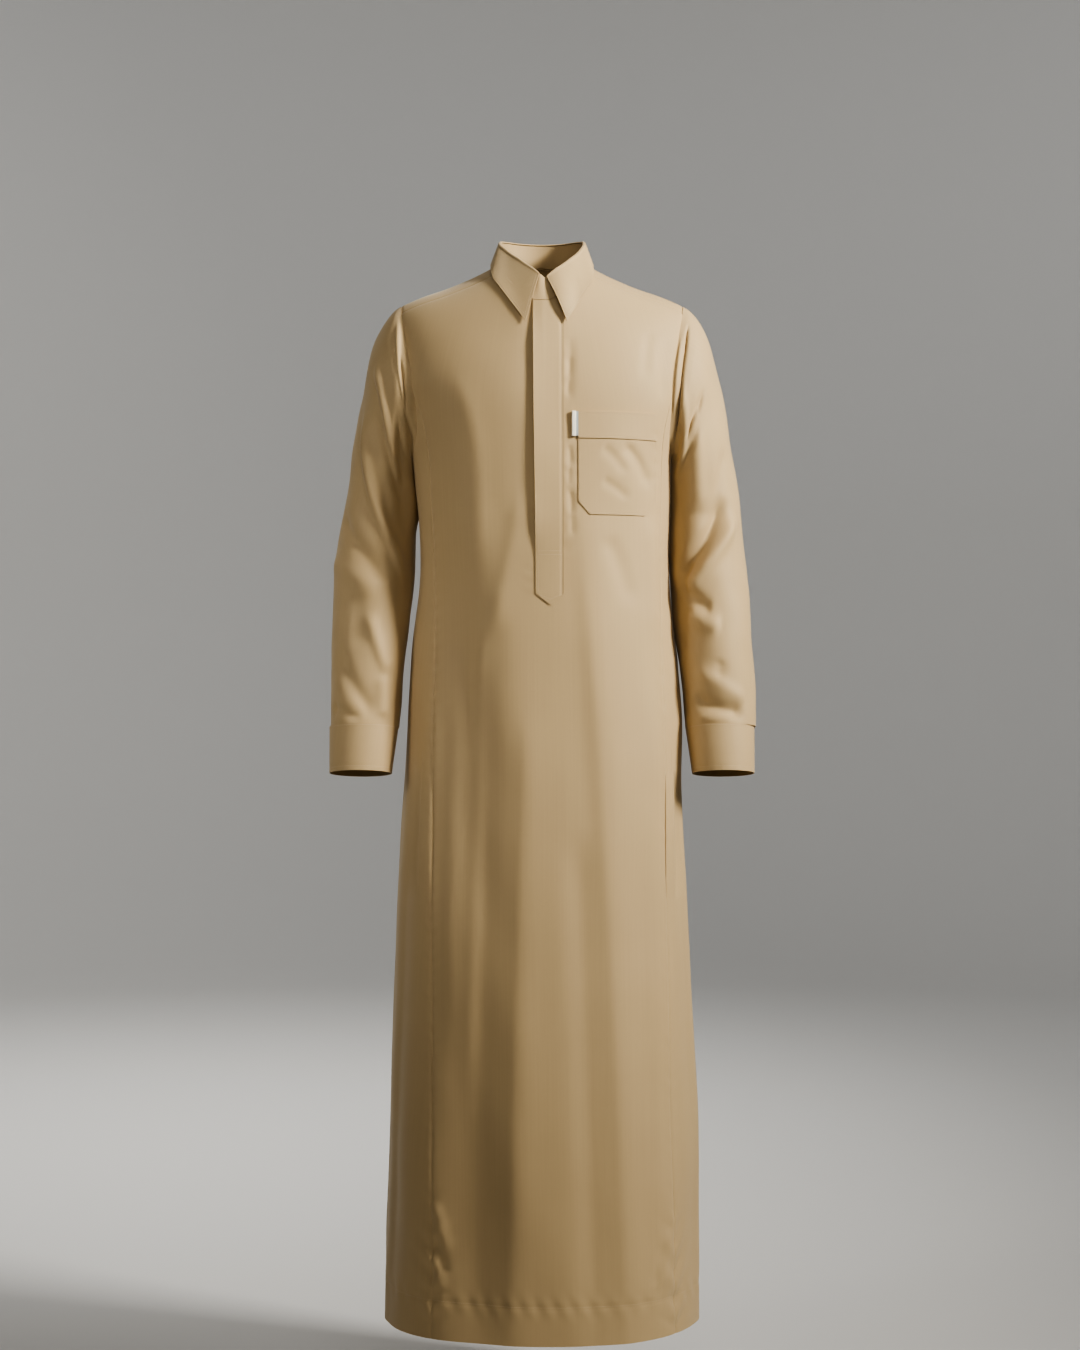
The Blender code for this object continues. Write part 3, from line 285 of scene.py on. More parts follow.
# Height of the shoulder ridge at each distance out from the middle
Ridge = namedtuple("Ridge", "out height")
RIDGES = (
    Ridge(0.000, 0.0450),
    Ridge(0.030, 0.0325),
    Ridge(0.050, 0.0150),
    Ridge(0.0717, 0.0000),
    Ridge(0.0876, -0.0083),
    Ridge(0.1255, -0.0248),
    Ridge(0.1724, -0.0414),
    Ridge(0.1950, -0.0515),
    Ridge(0.2200, -0.0650),
)

# The armhole: angle round it in degrees (0 shoulder, 180 underarm), girth angle and distance down
Armhole = namedtuple("Armhole", "turn girth_angle down")
ARMHOLES = (
    Armhole(0, 63.4, 0.000),
    Armhole(30, 61.6, 0.070),
    Armhole(60, 59.2, 0.145),
    Armhole(90, 58.6, 0.200),
    Armhole(110, 60.2, 0.223),
    Armhole(135, 66.0, 0.268),
    Armhole(155, 73.5, 0.294),
    Armhole(170, 82.0, 0.309),
    Armhole(180, 90.0, 0.315),
)
ARMHOLE_ABOVE_GORES = ARMHOLES[:5]
ARMHOLE_ON_GORES = ARMHOLES[4:]

# Height of the collar's fold line at each angle from the front middle
FoldLine = namedtuple("FoldLine", "turn height")
FOLD_LINES = (
    FoldLine(0, -0.0250),
    FoldLine(15, -0.0130),
    FoldLine(30, -0.0035),
    FoldLine(45, 0.0065),
    FoldLine(60, 0.0155),
    FoldLine(75, 0.0262),
    FoldLine(90, 0.0350),
    FoldLine(120, 0.0410),
    FoldLine(150, 0.0420),
    FoldLine(180, 0.0420),
)

# The fall's edge: share of the way from its front end to the back middle, distance out, distance down
# (below none in front) and clearance from the body; both halves share the back
LeafEdge = namedtuple("LeafEdge", "step out down clear")
LEAF_BACK = (
    LeafEdge(0.52, 0.0680, -0.0330, 0.0025),
    LeafEdge(0.62, 0.0680, 0.0120, 0.0025),
    LeafEdge(0.74, 0.0630, 0.0520, 0.0030),
    LeafEdge(0.86, 0.0430, 0.0900, 0.0030),
    LeafEdge(1.00, 0.0000, 0.1130, 0.0030),
)
LEFT_LEAF = (
    LeafEdge(0.00, 0.0215, -0.1683, 0.0034),
    LeafEdge(0.08, 0.0300, -0.1568, 0.0026),
    LeafEdge(0.16, 0.0386, -0.1427, 0.0020),
    LeafEdge(0.24, 0.0475, -0.1254, 0.0017),
    LeafEdge(0.32, 0.0566, -0.1052, 0.0017),
    LeafEdge(0.40, 0.0656, -0.0792, 0.0020),
) + LEAF_BACK
RIGHT_LEAF = (
    LeafEdge(0.00, 0.0323, -0.1663, 0.0050),
    LeafEdge(0.08, 0.0390, -0.1544, 0.0052),
    LeafEdge(0.16, 0.0459, -0.1408, 0.0043),
    LeafEdge(0.24, 0.0530, -0.1255, 0.0036),
    LeafEdge(0.32, 0.0600, -0.1080, 0.0031),
    LeafEdge(0.40, 0.0670, -0.0864, 0.0030),
) + LEAF_BACK

# The fall's roll over the fold line, ending at its shoulder
Roll = namedtuple("Roll", "out up")
FOLD_ROLL = (
    Roll(0.0000, 0.0006),
    Roll(0.0008, 0.0017),
    Roll(0.0026, 0.0012),
    Roll(0.0036, -0.0012),
)

# A sleeve's rings: outer and inner edge, half the depth, how far back the middle lies and the front's rise
ArmSection = namedtuple("ArmSection", "outer_x outer_z inner_x inner_z half_depth back pitch")
ARM_SECTIONS = (
    ArmSection(0.1950, -0.0515, 0.1765, -0.2670, 0.0640, 0.000, 0.00),
    ArmSection(0.2050, -0.0595, 0.1795, -0.2685, 0.0640, 0.001, 0.00),
    ArmSection(0.2165, -0.0755, 0.1812, -0.2740, 0.0640, 0.003, 0.00),
    ArmSection(0.2275, -0.0990, 0.1812, -0.2810, 0.0635, 0.006, 0.00),
    ArmSection(0.2378, -0.1320, 0.1802, -0.2900, 0.0625, 0.009, 0.00),
    ArmSection(0.2460, -0.1700, 0.1787, -0.3010, 0.0610, 0.013, -0.02),
    ArmSection(0.2545, -0.2140, 0.1772, -0.3150, 0.0595, 0.017, -0.02),
    ArmSection(0.2625, -0.2580, 0.1762, -0.3310, 0.0585, 0.020, -0.01),
    ArmSection(0.2700, -0.3020, 0.1758, -0.3500, 0.0575, 0.022, 0.00),
    ArmSection(0.2762, -0.3450, 0.1760, -0.3720, 0.0565, 0.021, 0.02),
    ArmSection(0.2813, -0.3880, 0.1770, -0.3980, 0.0560, 0.019, 0.06),
    ArmSection(0.2850, -0.4290, 0.1790, -0.4310, 0.0550, 0.014, 0.09),
    ArmSection(0.2875, -0.4690, 0.1822, -0.4690, 0.0540, 0.008, 0.11),
    ArmSection(0.2890, -0.5100, 0.1862, -0.5100, 0.0525, 0.001, 0.13),
    ArmSection(0.2897, -0.5510, 0.1905, -0.5510, 0.0505, -0.006, 0.14),
    ArmSection(0.2900, -0.5920, 0.1945, -0.5920, 0.0480, -0.013, 0.14),
    ArmSection(0.2900, -0.6300, 0.1980, -0.6300, 0.0460, -0.019, 0.14),
)
CUFF_SECTIONS = (
    ARM_SECTIONS[-1],
    ArmSection(0.2897, -0.6610, 0.2022, -0.6610, 0.0450, -0.025, 0.14),
    ArmSection(0.2893, -0.6930, 0.2065, -0.6930, 0.0440, -0.030, 0.14),
)

# Folds on the body: a curve from start by middle to end, on the named side (front and back read x and z,
# left and right read y and z), its half-width, how far it stands out (below none it is a trough), and its
# lean: above none, the flank on the left of the run is the steeper one, with x or y drawn to the right
# and z upwards.
BodyFold = namedtuple("BodyFold", "side start middle end half_width rise lean")
BODY_FOLDS = (
    BodyFold("front", (-0.172, -0.165), (-0.151, -0.275), (-0.130, -0.490), 0.036, -0.0060, 0.20),
    BodyFold("front", (-0.124, -0.150), (-0.087, -0.262), (-0.090, -0.440), 0.014, 0.0016, 0.00),
    BodyFold("front", (-0.132, -0.370), (-0.094, -0.840), (-0.102, -1.700), 0.051, -0.0125, 0.14),
    BodyFold("front", (-0.016, -0.600), (-0.028, -0.900), (-0.042, -1.600), 0.018, 0.0020, -0.30),
    BodyFold("front", (-0.084, -0.420), (-0.090, -0.760), (-0.104, -1.180), 0.012, 0.0016, 0.00),
    BodyFold("front", (-0.136, -0.560), (-0.140, -0.800), (-0.143, -1.100), 0.012, -0.0022, 0.00),
    BodyFold("front", (0.050, -0.310), (0.094, -0.930), (0.118, -1.640), 0.024, 0.0042, -0.35),
    BodyFold("front", (0.045, -0.760), (0.057, -1.020), (0.074, -1.600), 0.017, -0.0028, 0.10),
    BodyFold("front", (0.150, -0.560), (0.154, -0.900), (0.160, -1.560), 0.016, 0.0022, 0.00),
    BodyFold("front", (0.144, -0.340), (0.150, -0.420), (0.152, -0.520), 0.010, 0.0024, 0.00),
    BodyFold("front", (-0.0227, -0.300), (-0.0467, -0.412), (-0.0627, -0.520), 0.013, 0.0016, -0.20),
    BodyFold("front", (-0.058, -0.430), (-0.074, -0.500), (-0.102, -0.590), 0.012, 0.0014, -0.20),
    BodyFold("front", (0.037, -0.103), (0.038, -0.150), (0.036, -0.200), 0.006, -0.0012, 0.00),
    BodyFold("front", (0.146, -0.092), (0.141, -0.125), (0.137, -0.168), 0.007, -0.0012, 0.00),
    BodyFold("front", (0.170, -0.100), (0.163, -0.140), (0.160, -0.195), 0.006, -0.0018, 0.00),
    BodyFold("front", (0.106, -0.250), (0.128, -0.270), (0.146, -0.312), 0.0080, -0.0026, 0.20),
    BodyFold("front", (0.078, -0.254), (0.096, -0.267), (0.114, -0.292), 0.0070, -0.0013, 0.10),
    BodyFold("front", (0.078, -0.298), (0.097, -0.307), (0.118, -0.325), 0.0065, -0.0013, 0.00),
    BodyFold("front", (-0.147, -1.255), (-0.137, -1.288), (-0.131, -1.325), 0.0070, 0.0024, 0.00),
    BodyFold("front", (-0.146, -1.300), (-0.138, -1.330), (-0.131, -1.354), 0.0060, -0.0020, 0.00),
    BodyFold("front", (-0.146, -1.332), (-0.139, -1.352), (-0.134, -1.376), 0.0060, 0.0017, 0.00),
    BodyFold("front", (0.177, -1.288), (0.163, -1.334), (0.157, -1.378), 0.0070, 0.0026, 0.00),
    BodyFold("front", (0.168, -1.306), (0.153, -1.342), (0.148, -1.370), 0.0060, -0.0016, 0.00),
    BodyFold("front", (0.177, -1.340), (0.170, -1.362), (0.166, -1.388), 0.0055, 0.0018, 0.00),
    BodyFold("front", (0.0350, -0.132), (0.0368, -0.146), (0.0345, -0.161), 0.0042, -0.0014, 0.00),
    BodyFold("front", (0.0340, -0.163), (0.0352, -0.172), (0.0338, -0.188), 0.0036, -0.0009, 0.00),
    BodyFold("front", (0.0338, -0.252), (0.0378, -0.266), (0.0350, -0.283), 0.0042, -0.0019, 0.00),
    BodyFold("front", (0.0340, -0.283), (0.0362, -0.292), (0.0345, -0.305), 0.0034, -0.0013, 0.00),
    BodyFold("front", (0.0342, -0.309), (0.0388, -0.326), (0.0376, -0.347), 0.0046, -0.0024, 0.00),
    BodyFold("front", (0.0372, -0.345), (0.0402, -0.357), (0.0388, -0.374), 0.0042, -0.0014, 0.00),
    BodyFold("front", (0.083, -0.371), (0.104, -0.412), (0.120, -0.472), 0.012, -0.0020, 0.00),
    BodyFold("back", (-0.130, -0.130), (-0.100, -0.260), (-0.050, -0.420), 0.022, -0.0050, 0.10),
    BodyFold("back", (0.135, -0.120), (0.095, -0.270), (0.060, -0.400), 0.020, -0.0045, -0.10),
    BodyFold("back", (-0.020, -0.360), (-0.028, -0.560), (-0.012, -0.780), 0.022, -0.0050, 0.10),
    BodyFold("back", (0.040, -0.300), (0.050, -0.440), (0.042, -0.620), 0.014, 0.0030, 0.10),
    BodyFold("back", (-0.110, -0.560), (-0.118, -0.960), (-0.100, -1.600), 0.024, 0.0075, 0.20),
    BodyFold("back", (-0.050, -0.640), (-0.060, -1.050), (-0.040, -1.600), 0.020, -0.0075, 0.10),
    BodyFold("back", (0.012, -0.600), (0.014, -1.000), (0.030, -1.600), 0.026, 0.0072, -0.20),
    BodyFold("back", (0.068, -0.700), (0.072, -1.100), (0.092, -1.600), 0.020, -0.0070, 0.00),
    BodyFold("back", (0.122, -0.620), (0.126, -1.000), (0.136, -1.600), 0.022, 0.0052, 0.20),
    BodyFold("back", (-0.135, -0.330), (-0.128, -0.460), (-0.134, -0.600), 0.012, 0.0025, 0.00),
    BodyFold("left", (-0.040, -0.480), (-0.052, -0.900), (-0.060, -1.600), 0.022, -0.0052, 0.20),
    BodyFold("left", (0.030, -0.520), (0.034, -0.960), (0.050, -1.600), 0.024, 0.0058, 0.20),
    BodyFold("left", (0.010, -0.300), (0.020, -0.420), (0.000, -0.600), 0.014, -0.0025, 0.00),
    BodyFold("right", (0.000, -0.250), (0.000, -0.450), (0.000, -0.720), 0.060, 0.0046, 0.00),
    BodyFold("right", (-0.020, -0.500), (-0.026, -0.940), (-0.038, -1.600), 0.024, 0.0052, -0.20),
    BodyFold("right", (0.046, -0.460), (0.056, -0.900), (0.062, -1.600), 0.020, -0.0054, 0.00),
    BodyFold("right", (0.020, -0.320), (0.010, -0.440), (0.024, -0.620), 0.014, 0.0026, 0.00),
)

# Folds on a sleeve: angle round it (0 outer edge, 90 front, 180 inner edge, 270 back) and share of its
# length from the armhole at start, middle and end, half-width, rise, and the same lean, with angles drawn
# to the right and shares upwards.
SleeveFold = namedtuple("SleeveFold", "start middle end half_width rise lean")
LEFT_SLEEVE_FOLDS = (
    SleeveFold((36, 0.020), (84, 0.078), (142, 0.000), 0.006, 0.0040, 0.20),
    SleeveFold((62, 0.070), (110, 0.055), (160, 0.010), 0.008, -0.0050, 0.00),
    SleeveFold((78, 0.060), (98, 0.180), (120, 0.330), 0.010, 0.0016, 0.00),
    SleeveFold((40, 0.222), (86, 0.262), (126, 0.400), 0.010, 0.0046, 0.20),
    SleeveFold((60, 0.300), (98, 0.350), (128, 0.460), 0.010, -0.0030, 0.00),
    SleeveFold((33, 0.325), (82, 0.500), (152, 0.712), 0.009, 0.0078, 0.30),
    SleeveFold((10, 0.555), (60, 0.612), (118, 0.705), 0.011, -0.0062, 0.10),
    SleeveFold((-4, 0.645), (58, 0.680), (108, 0.735), 0.013, 0.0032, 0.00),
    SleeveFold((116, 0.120), (128, 0.330), (140, 0.620), 0.014, -0.0050, 0.00),
    SleeveFold((170, 0.040), (176, 0.260), (176, 0.560), 0.022, 0.0062, 0.00),
    SleeveFold((70, 0.720), (76, 0.780), (80, 0.850), 0.012, -0.0018, 0.00),
    SleeveFold((86, 0.760), (106, 0.833), (130, 0.900), 0.009, 0.0044, 0.20),
    SleeveFold((30, 0.840), (72, 0.917), (112, 0.985), 0.011, -0.0040, 0.00),
    SleeveFold((26, 0.960), (56, 0.975), (92, 1.000), 0.008, -0.0036, 0.00),
    SleeveFold((116, 0.890), (124, 0.940), (128, 0.990), 0.010, 0.0036, 0.00),
    SleeveFold((300, 0.220), (280, 0.400), (220, 0.600), 0.014, 0.0060, -0.20),
    SleeveFold((330, 0.560), (280, 0.620), (215, 0.660), 0.012, -0.0070, 0.00),
    SleeveFold((320, 0.660), (276, 0.700), (226, 0.710), 0.011, 0.0045, 0.00),
    SleeveFold((230, 0.740), (270, 0.800), (320, 0.840), 0.012, -0.0050, 0.00),
    SleeveFold((236, 0.860), (268, 0.900), (300, 0.980), 0.010, 0.0040, 0.00),
)
RIGHT_SLEEVE_FOLDS = (
    SleeveFold((36, 0.050), (84, 0.064), (146, 0.040), 0.006, -0.0055, 0.00),
    SleeveFold((50, 0.020), (88, 0.026), (130, 0.012), 0.005, 0.0020, 0.00),
    SleeveFold((98, 0.060), (112, 0.160), (136, 0.340), 0.011, 0.0040, 0.10),
    SleeveFold((66, 0.262), (88, 0.232), (116, 0.214), 0.009, -0.0042, 0.00),
    SleeveFold((92, 0.280), (97, 0.400), (100, 0.520), 0.014, 0.0056, 0.20),
    SleeveFold((40, 0.400), (66, 0.480), (104, 0.560), 0.010, -0.0030, 0.00),
    SleeveFold((50, 0.500), (98, 0.598), (150, 0.708), 0.012, -0.0125, 0.00),
    SleeveFold((35, 0.545), (85, 0.638), (137, 0.742), 0.0085, 0.0064, 0.00),
    SleeveFold((140, 0.690), (116, 0.740), (92, 0.760), 0.009, -0.0052, 0.00),
    SleeveFold((82, 0.800), (108, 0.786), (136, 0.770), 0.011, 0.0046, 0.00),
    SleeveFold((86, 0.865), (89, 0.885), (92, 0.905), 0.008, -0.0022, 0.00),
    SleeveFold((44, 0.948), (84, 0.922), (134, 0.880), 0.010, 0.0036, 0.00),
    SleeveFold((46, 0.974), (94, 0.966), (142, 0.940), 0.009, -0.0066, 0.00),
    SleeveFold((70, 0.998), (104, 0.996), (136, 0.988), 0.006, 0.0035, 0.00),
    SleeveFold((172, 0.040), (178, 0.220), (178, 0.500), 0.022, 0.0040, 0.00),
    SleeveFold((290, 0.200), (278, 0.360), (226, 0.560), 0.014, 0.0060, 0.20),
    SleeveFold((325, 0.520), (276, 0.600), (212, 0.640), 0.012, -0.0070, 0.00),
    SleeveFold((318, 0.640), (272, 0.680), (224, 0.700), 0.011, 0.0042, 0.00),
    SleeveFold((225, 0.780), (266, 0.820), (322, 0.880), 0.012, -0.0048, 0.00),
    SleeveFold((240, 0.900), (272, 0.930), (300, 0.985), 0.010, 0.0038, 0.00),
)

# Slow unevenness of hung cloth: cycles a metre along each axis, phase and height
Drift = namedtuple("Drift", "x y z phase rise")
DRIFTS = (
    Drift(3.1, 2.2, 1.3, 0.4, 0.0011),
    Drift(5.7, -3.9, 2.1, 2.2, 0.0008),
    Drift(2.3, 4.4, -3.7, 4.1, 0.0008),
    Drift(9.1, 7.0, 4.5, 1.0, 0.0002),
    Drift(13.0, -11.0, 6.2, 3.3, 0.0001),
    Drift(-7.5, 12.0, 9.4, 5.1, 0.0001),
)
DRIFT_FADE = (0.12, 0.28)

# Puckers along a seam: where they start and stop, height, reach from the seam, pitch, slant and phase
Pucker = namedtuple("Pucker", "seam top end rise reach pitch slant phase")
PUCKERS = (
    Pucker("front_left", -0.300, -1.437, 0.00020, 0.010, 0.019, 0.5, 0.3),
    Pucker("front_left", -0.500, -1.437, 0.00018, 0.016, 0.031, 0.9, 2.1),
    Pucker("front_left", -1.270, -1.430, 0.00110, 0.022, 0.037, 0.8, 0.8),
    Pucker("front_right", -0.300, -1.437, 0.00020, 0.010, 0.021, 0.5, 1.3),
    Pucker("front_right", -0.500, -1.437, 0.00018, 0.016, 0.033, 0.9, 4.0),
    Pucker("front_right", -1.255, -1.425, 0.00150, 0.020, 0.043, 1.0, 2.6),
    Pucker("back_left", -0.200, -1.437, 0.00035, 0.010, 0.020, 0.5, 0.9),
    Pucker("back_left", -1.250, -1.425, 0.00120, 0.020, 0.036, 1.2, 1.9),
    Pucker("back_right", -0.200, -1.437, 0.00035, 0.010, 0.022, 0.5, 3.1),
    Pucker("back_right", -1.260, -1.430, 0.00120, 0.020, 0.038, 1.2, 0.2),
)
PUCKER_FADE = 0.040
PUCKER_WANDER_RATE = 17.0
PUCKER_FALLOFF = 1.5

# Ripples of the front along an upright line of stitches
Ripple = namedtuple("Ripple", "x top end rise reach pitch slant phase")
RIPPLES = (
    Ripple(0.0330, -0.240, -0.415, 0.00025, 0.0060, 0.0210, 0.8, 0.4),
    Ripple(0.0320, -0.120, -0.235, 0.00018, 0.0060, 0.0190, 0.6, 2.2),
    Ripple(-0.0160, -0.400, -0.460, 0.00030, 0.0060, 0.0170, 0.7, 1.0),
    Ripple(0.0452, -0.245, -0.325, 0.00025, 0.0060, 0.0180, 0.5, 2.9),
    Ripple(0.1527, -0.215, -0.325, 0.00030, 0.0060, 0.0200, 0.5, 0.7),
)
RIPPLE_WANDER = 0.9
RIPPLE_WANDER_RATE = 31.0
HEM_RIPPLE = 0.0006
HEM_RIPPLE_PITCH = 0.026
HEM_RIPPLE_REACH = 0.012
HEM_RIPPLE_SLANT = 0.4
HEM_RIPPLE_WANDER = 2.0
HEM_RIPPLE_WANDER_RATE = 9.0
HEM_GROOVE = 0.0006
HEM_GROOVE_WIDTH = 0.0018
RING_RADIUS = 0.19

# Lines of stitches: the cloth piece, the way the line runs, its place in metres from the first row or
# column (below none: from the last; a level or a share where it says so), and the shares it spans.
StitchLine = namedtuple("StitchLine", "cloth along place start end")
STITCHES = {
    "body": (
        StitchLine("front_cloth", "level", HEM_STITCH_LEVEL, 0.0, 1.0),
        StitchLine("back_cloth", "level", HEM_STITCH_LEVEL, 0.0, 1.0),
        StitchLine("side_cloth_left", "level", HEM_STITCH_LEVEL, 0.0, 1.0),
        StitchLine("side_cloth_right", "level", HEM_STITCH_LEVEL, 0.0, 1.0),
        StitchLine("yoke_cloth", "row", 0.0020, 0.0, 1.0),
        StitchLine("side_cloth_left", "share", 0.885, 0.492, 0.642),
        StitchLine("side_cloth_right", "share", 0.115, 0.492, 0.642),
    ),
    "placket": (
        StitchLine("placket_cloth", "column", -0.0035, 0.010, 1.0),
        StitchLine("placket_cloth", "column", 0.0035, 0.010, 0.220),
        StitchLine("placket_cloth", "row", 0.0035, 0.08, 0.92),
        StitchLine("placket_cloth", "level", -0.3930, 0.09, 0.91),
        StitchLine("placket_cloth", "level", -0.3980, 0.09, 0.91),
    ),
    "pocket": (
        StitchLine("pocket_cloth", "column", 0.0018, 0.01, 0.97),
        StitchLine("pocket_cloth", "column", -0.0018, 0.01, 0.97),
        StitchLine("pocket_cloth", "row", 0.0018, 0.02, 0.98),
        StitchLine("band_cloth", "row", 0.0020, 0.01, 0.99),
        StitchLine("band_cloth", "row", -0.0020, 0.01, 0.99),
    ),
    "collar": (
        StitchLine("fall_cloth", "row", 0.0045, 0.012, 0.988),
        StitchLine("fall_cloth", "column", 0.0045, 0.06, 0.92),
        StitchLine("fall_cloth", "column", -0.0045, 0.06, 0.92),
        StitchLine("stand_cloth", "row", 0.0018, 0.0, 1.0),
    ),
    "cuff": (
        StitchLine("cuff_cloth_left", "row", -0.0020, 0.0, 1.0),
        StitchLine("cuff_cloth_left", "row", 0.0060, 0.0, 1.0),
        StitchLine("cuff_cloth_right", "row", -0.0020, 0.0, 1.0),
        StitchLine("cuff_cloth_right", "row", 0.0060, 0.0, 1.0),
    ),
}


def column(table, field):
    """One named column of a table as an array."""
    return np.array([getattr(row, field) for row in table], dtype=float)


def smooth(at, keys, values):
    """Cubic curve through a table's values, with each slope taken from the rows beside it.

    Between two rows it is the straight line plus t (1 - t) times a mix of what both slopes add to it.
    """
    slopes = np.gradient(values, keys)
    at = np.clip(np.asarray(at, dtype=float), keys[0], keys[-1])
    i = np.clip(np.searchsorted(keys, at) - 1, 0, len(keys) - 2)
    span = keys[i + 1] - keys[i]
    t = (at - keys[i]) / span
    rise = values[i + 1] - values[i]
    start = slopes[i] * span - rise
    end = rise - slopes[i + 1] * span
    return values[i] + rise * t + t * (1.0 - t) * ((1.0 - t) * start + t * end)


def read(table, key, field, at):
    """A table's named column, read smoothly along its key column."""
    return smooth(at, column(table, key), column(table, field))


def smoothstep(low, high, value):
    """A step from 0 at low to 1 at high, level at both ends."""
    t = np.clip((value - low) / (high - low), 0.0, 1.0)
    return t * t * (3.0 - 2.0 * t)


def bump(distance, width):
    """A bell of height 1 that has fallen to 1/e at a distance of one width."""
    return np.exp(-(distance / width) ** 2)


def nearest(values, value):
    """Place in an array of the entry closest to a value."""
    return int(np.abs(values - value).argmin())


def spread(knots, cell):
    """Values through the knots in even steps no longer than a cell."""
    stretches = []
    for first, last in zip(knots[:-1], knots[1:]):
        count = max(1, math.ceil(abs(last - first) / cell - TOLERANCE))
        stretches.append(np.linspace(first, last, count + 1)[:-1])
    return np.concatenate(stretches + [[knots[-1]]])


def edged(reach, cell):
    """Shares from 0 to 1 with fine steps within reach of both ends and even cells between."""
    near = reach * EDGE_SHARES
    return np.concatenate((near, spread((reach, 1.0 - reach), cell), 1.0 - near[::-1]))


def level_to_down(level):
    """Distance down the cloth from the shoulder ridge to a level at or below the chest."""
    return CREST + CHEST_LEVEL - level


def body_point(across, forward, down):
    """Point of the body: the girth table's ring at that distance down, bent over the shoulder ridge."""
    width = read(GIRTHS, "down", "half_width", down)
    front = read(GIRTHS, "down", "front", down)
    back = read(GIRTHS, "down", "back", down)
    roll = np.clip(down / CREST, 0.0, 1.0) * math.pi / 2.0
    x = width * across
    ridge = read(RIDGES, "out", "height", np.abs(x))
    over_shoulder = CHEST_LEVEL + (ridge - CHEST_LEVEL) * np.cos(roll)
    z = np.where(down < CREST, over_shoulder, CHEST_LEVEL + CREST - down)
    depth = np.where(forward > 0.0, front, back) * forward * np.sin(roll)
    return np.stack((x, -depth, z), axis=-1)


def flat_point(x, down):
    """Body point at a distance across; down is negative on the front and positive on the back."""
    width = read(GIRTHS, "down", "half_width", np.abs(down))
    across = np.clip(x / width, -1.0, 1.0)
    forward = (1.0 - np.abs(across) ** ROUNDNESS) ** (1.0 / ROUNDNESS)
    return body_point(across, np.where(down < 0.0, forward, -forward), np.abs(down))


def side_point(angle, down, side):
    """Body point at a girth angle in degrees: 0 front, 90 the side, 180 back."""
    turn = np.radians(angle)
    power = 2.0 / ROUNDNESS
    across = np.abs(np.sin(turn)) ** power * side
    forward = np.sign(np.cos(turn)) * np.abs(np.cos(turn)) ** power
    return body_point(across, forward, down)


def girth_angle(x, down):
    """Girth angle of a front point that lies x from the middle."""
    width = read(GIRTHS, "down", "half_width", down)
    return np.degrees(np.arcsin(np.clip(x / width, 0.0, 1.0) ** (ROUNDNESS / 2.0)))


def surface_normals(surface, first, second, flip):
    """Unit normals of a surface of two parameters, from small steps either side."""
    turned = np.max(np.abs(first)) > WIDEST_DISTANCE
    step_first = ANGLE_STEP if turned else DISTANCE_STEP
    along_first = surface(first + step_first, second) - surface(first - step_first, second)
    along_second = surface(first, second + DISTANCE_STEP) - surface(first, second - DISTANCE_STEP)
    normals = np.cross(along_first, along_second) * flip
    return normals / np.linalg.norm(normals, axis=-1, keepdims=True)


def grid_normals(points, closed=False):
    """Unit normals at a grid's points, from the differences along its rows and columns."""
    along_rows = np.gradient(points, axis=1)
    if closed:
        along_rows = np.roll(points, -1, axis=1) - np.roll(points, 1, axis=1)
    normals = np.cross(along_rows, np.gradient(points, axis=0))
    return normals / np.linalg.norm(normals, axis=-1, keepdims=True)


def fold_rise(points, fold):
    """How far a fold moves plane points out.

    Its curve is a quadratic through start, middle and end, in straight legs. Across it, the fold is a
    bell of the distance to the nearest leg, narrower on the flank that it leans to, on the left of the
    run; along it, it fades at both ends. Only the points within reach of the curve are worked out.
    """
    t = np.linspace(0.0, 1.0, FOLD_SAMPLES)[:, None]
    start, middle, end = (np.array(place) for place in (fold.start, fold.middle, fold.end))
    bend = 2.0 * middle - 0.5 * (start + end)
    curve = (1.0 - t) ** 2 * start + 2.0 * t * (1.0 - t) * bend + t ** 2 * end
    reach = FOLD_REACH * fold.half_width
    near = ((points > curve.min(0) - reach) & (points < curve.max(0) + reach)).all(-1)
    rise = np.zeros(points.shape[:-1])
    if not near.any():
        return rise
    legs = curve[1:] - curve[:-1]
    offsets = points[near][:, None, :] - curve[:-1]
    share = np.clip((offsets * legs).sum(-1) / (legs ** 2).sum(-1), 0.0, 1.0)
    away = offsets - share[..., None] * legs
    gaps = np.linalg.norm(away, axis=-1)
    closest = gaps.argmin(-1)
    rows = np.arange(len(closest))
    along = (closest + share[rows, closest]) / (FOLD_SAMPLES - 1)
    leg = legs[closest]
    drift = away[rows, closest]
    left = np.sign(leg[:, 0] * drift[:, 1] - leg[:, 1] * drift[:, 0])
    width = fold.half_width * (1.0 - fold.lean * left)
    fade = smoothstep(0.0, FOLD_END_TAPER, along) * smoothstep(0.0, FOLD_END_TAPER, 1.0 - along)
    rise[near] = fold.rise * fade * bump(gaps[rows, closest], width)
    return rise


def hem_relief(points):
    """The hem's stitched groove, and small ripples along it that fade above and below."""
    ring = np.arctan2(points[..., 0], -points[..., 1]) * RING_RADIUS
    away = points[..., 2] - HEM_STITCH_LEVEL
    wander = HEM_RIPPLE_WANDER * np.sin(HEM_RIPPLE_WANDER_RATE * ring)
    wave = np.sin(2.0 * math.pi * (ring + HEM_RIPPLE_SLANT * away) / HEM_RIPPLE_PITCH + wander)
    ripple = HEM_RIPPLE * wave * bump(away, HEM_RIPPLE_REACH)
    return ripple - HEM_GROOVE * bump(away, HEM_GROOVE_WIDTH)


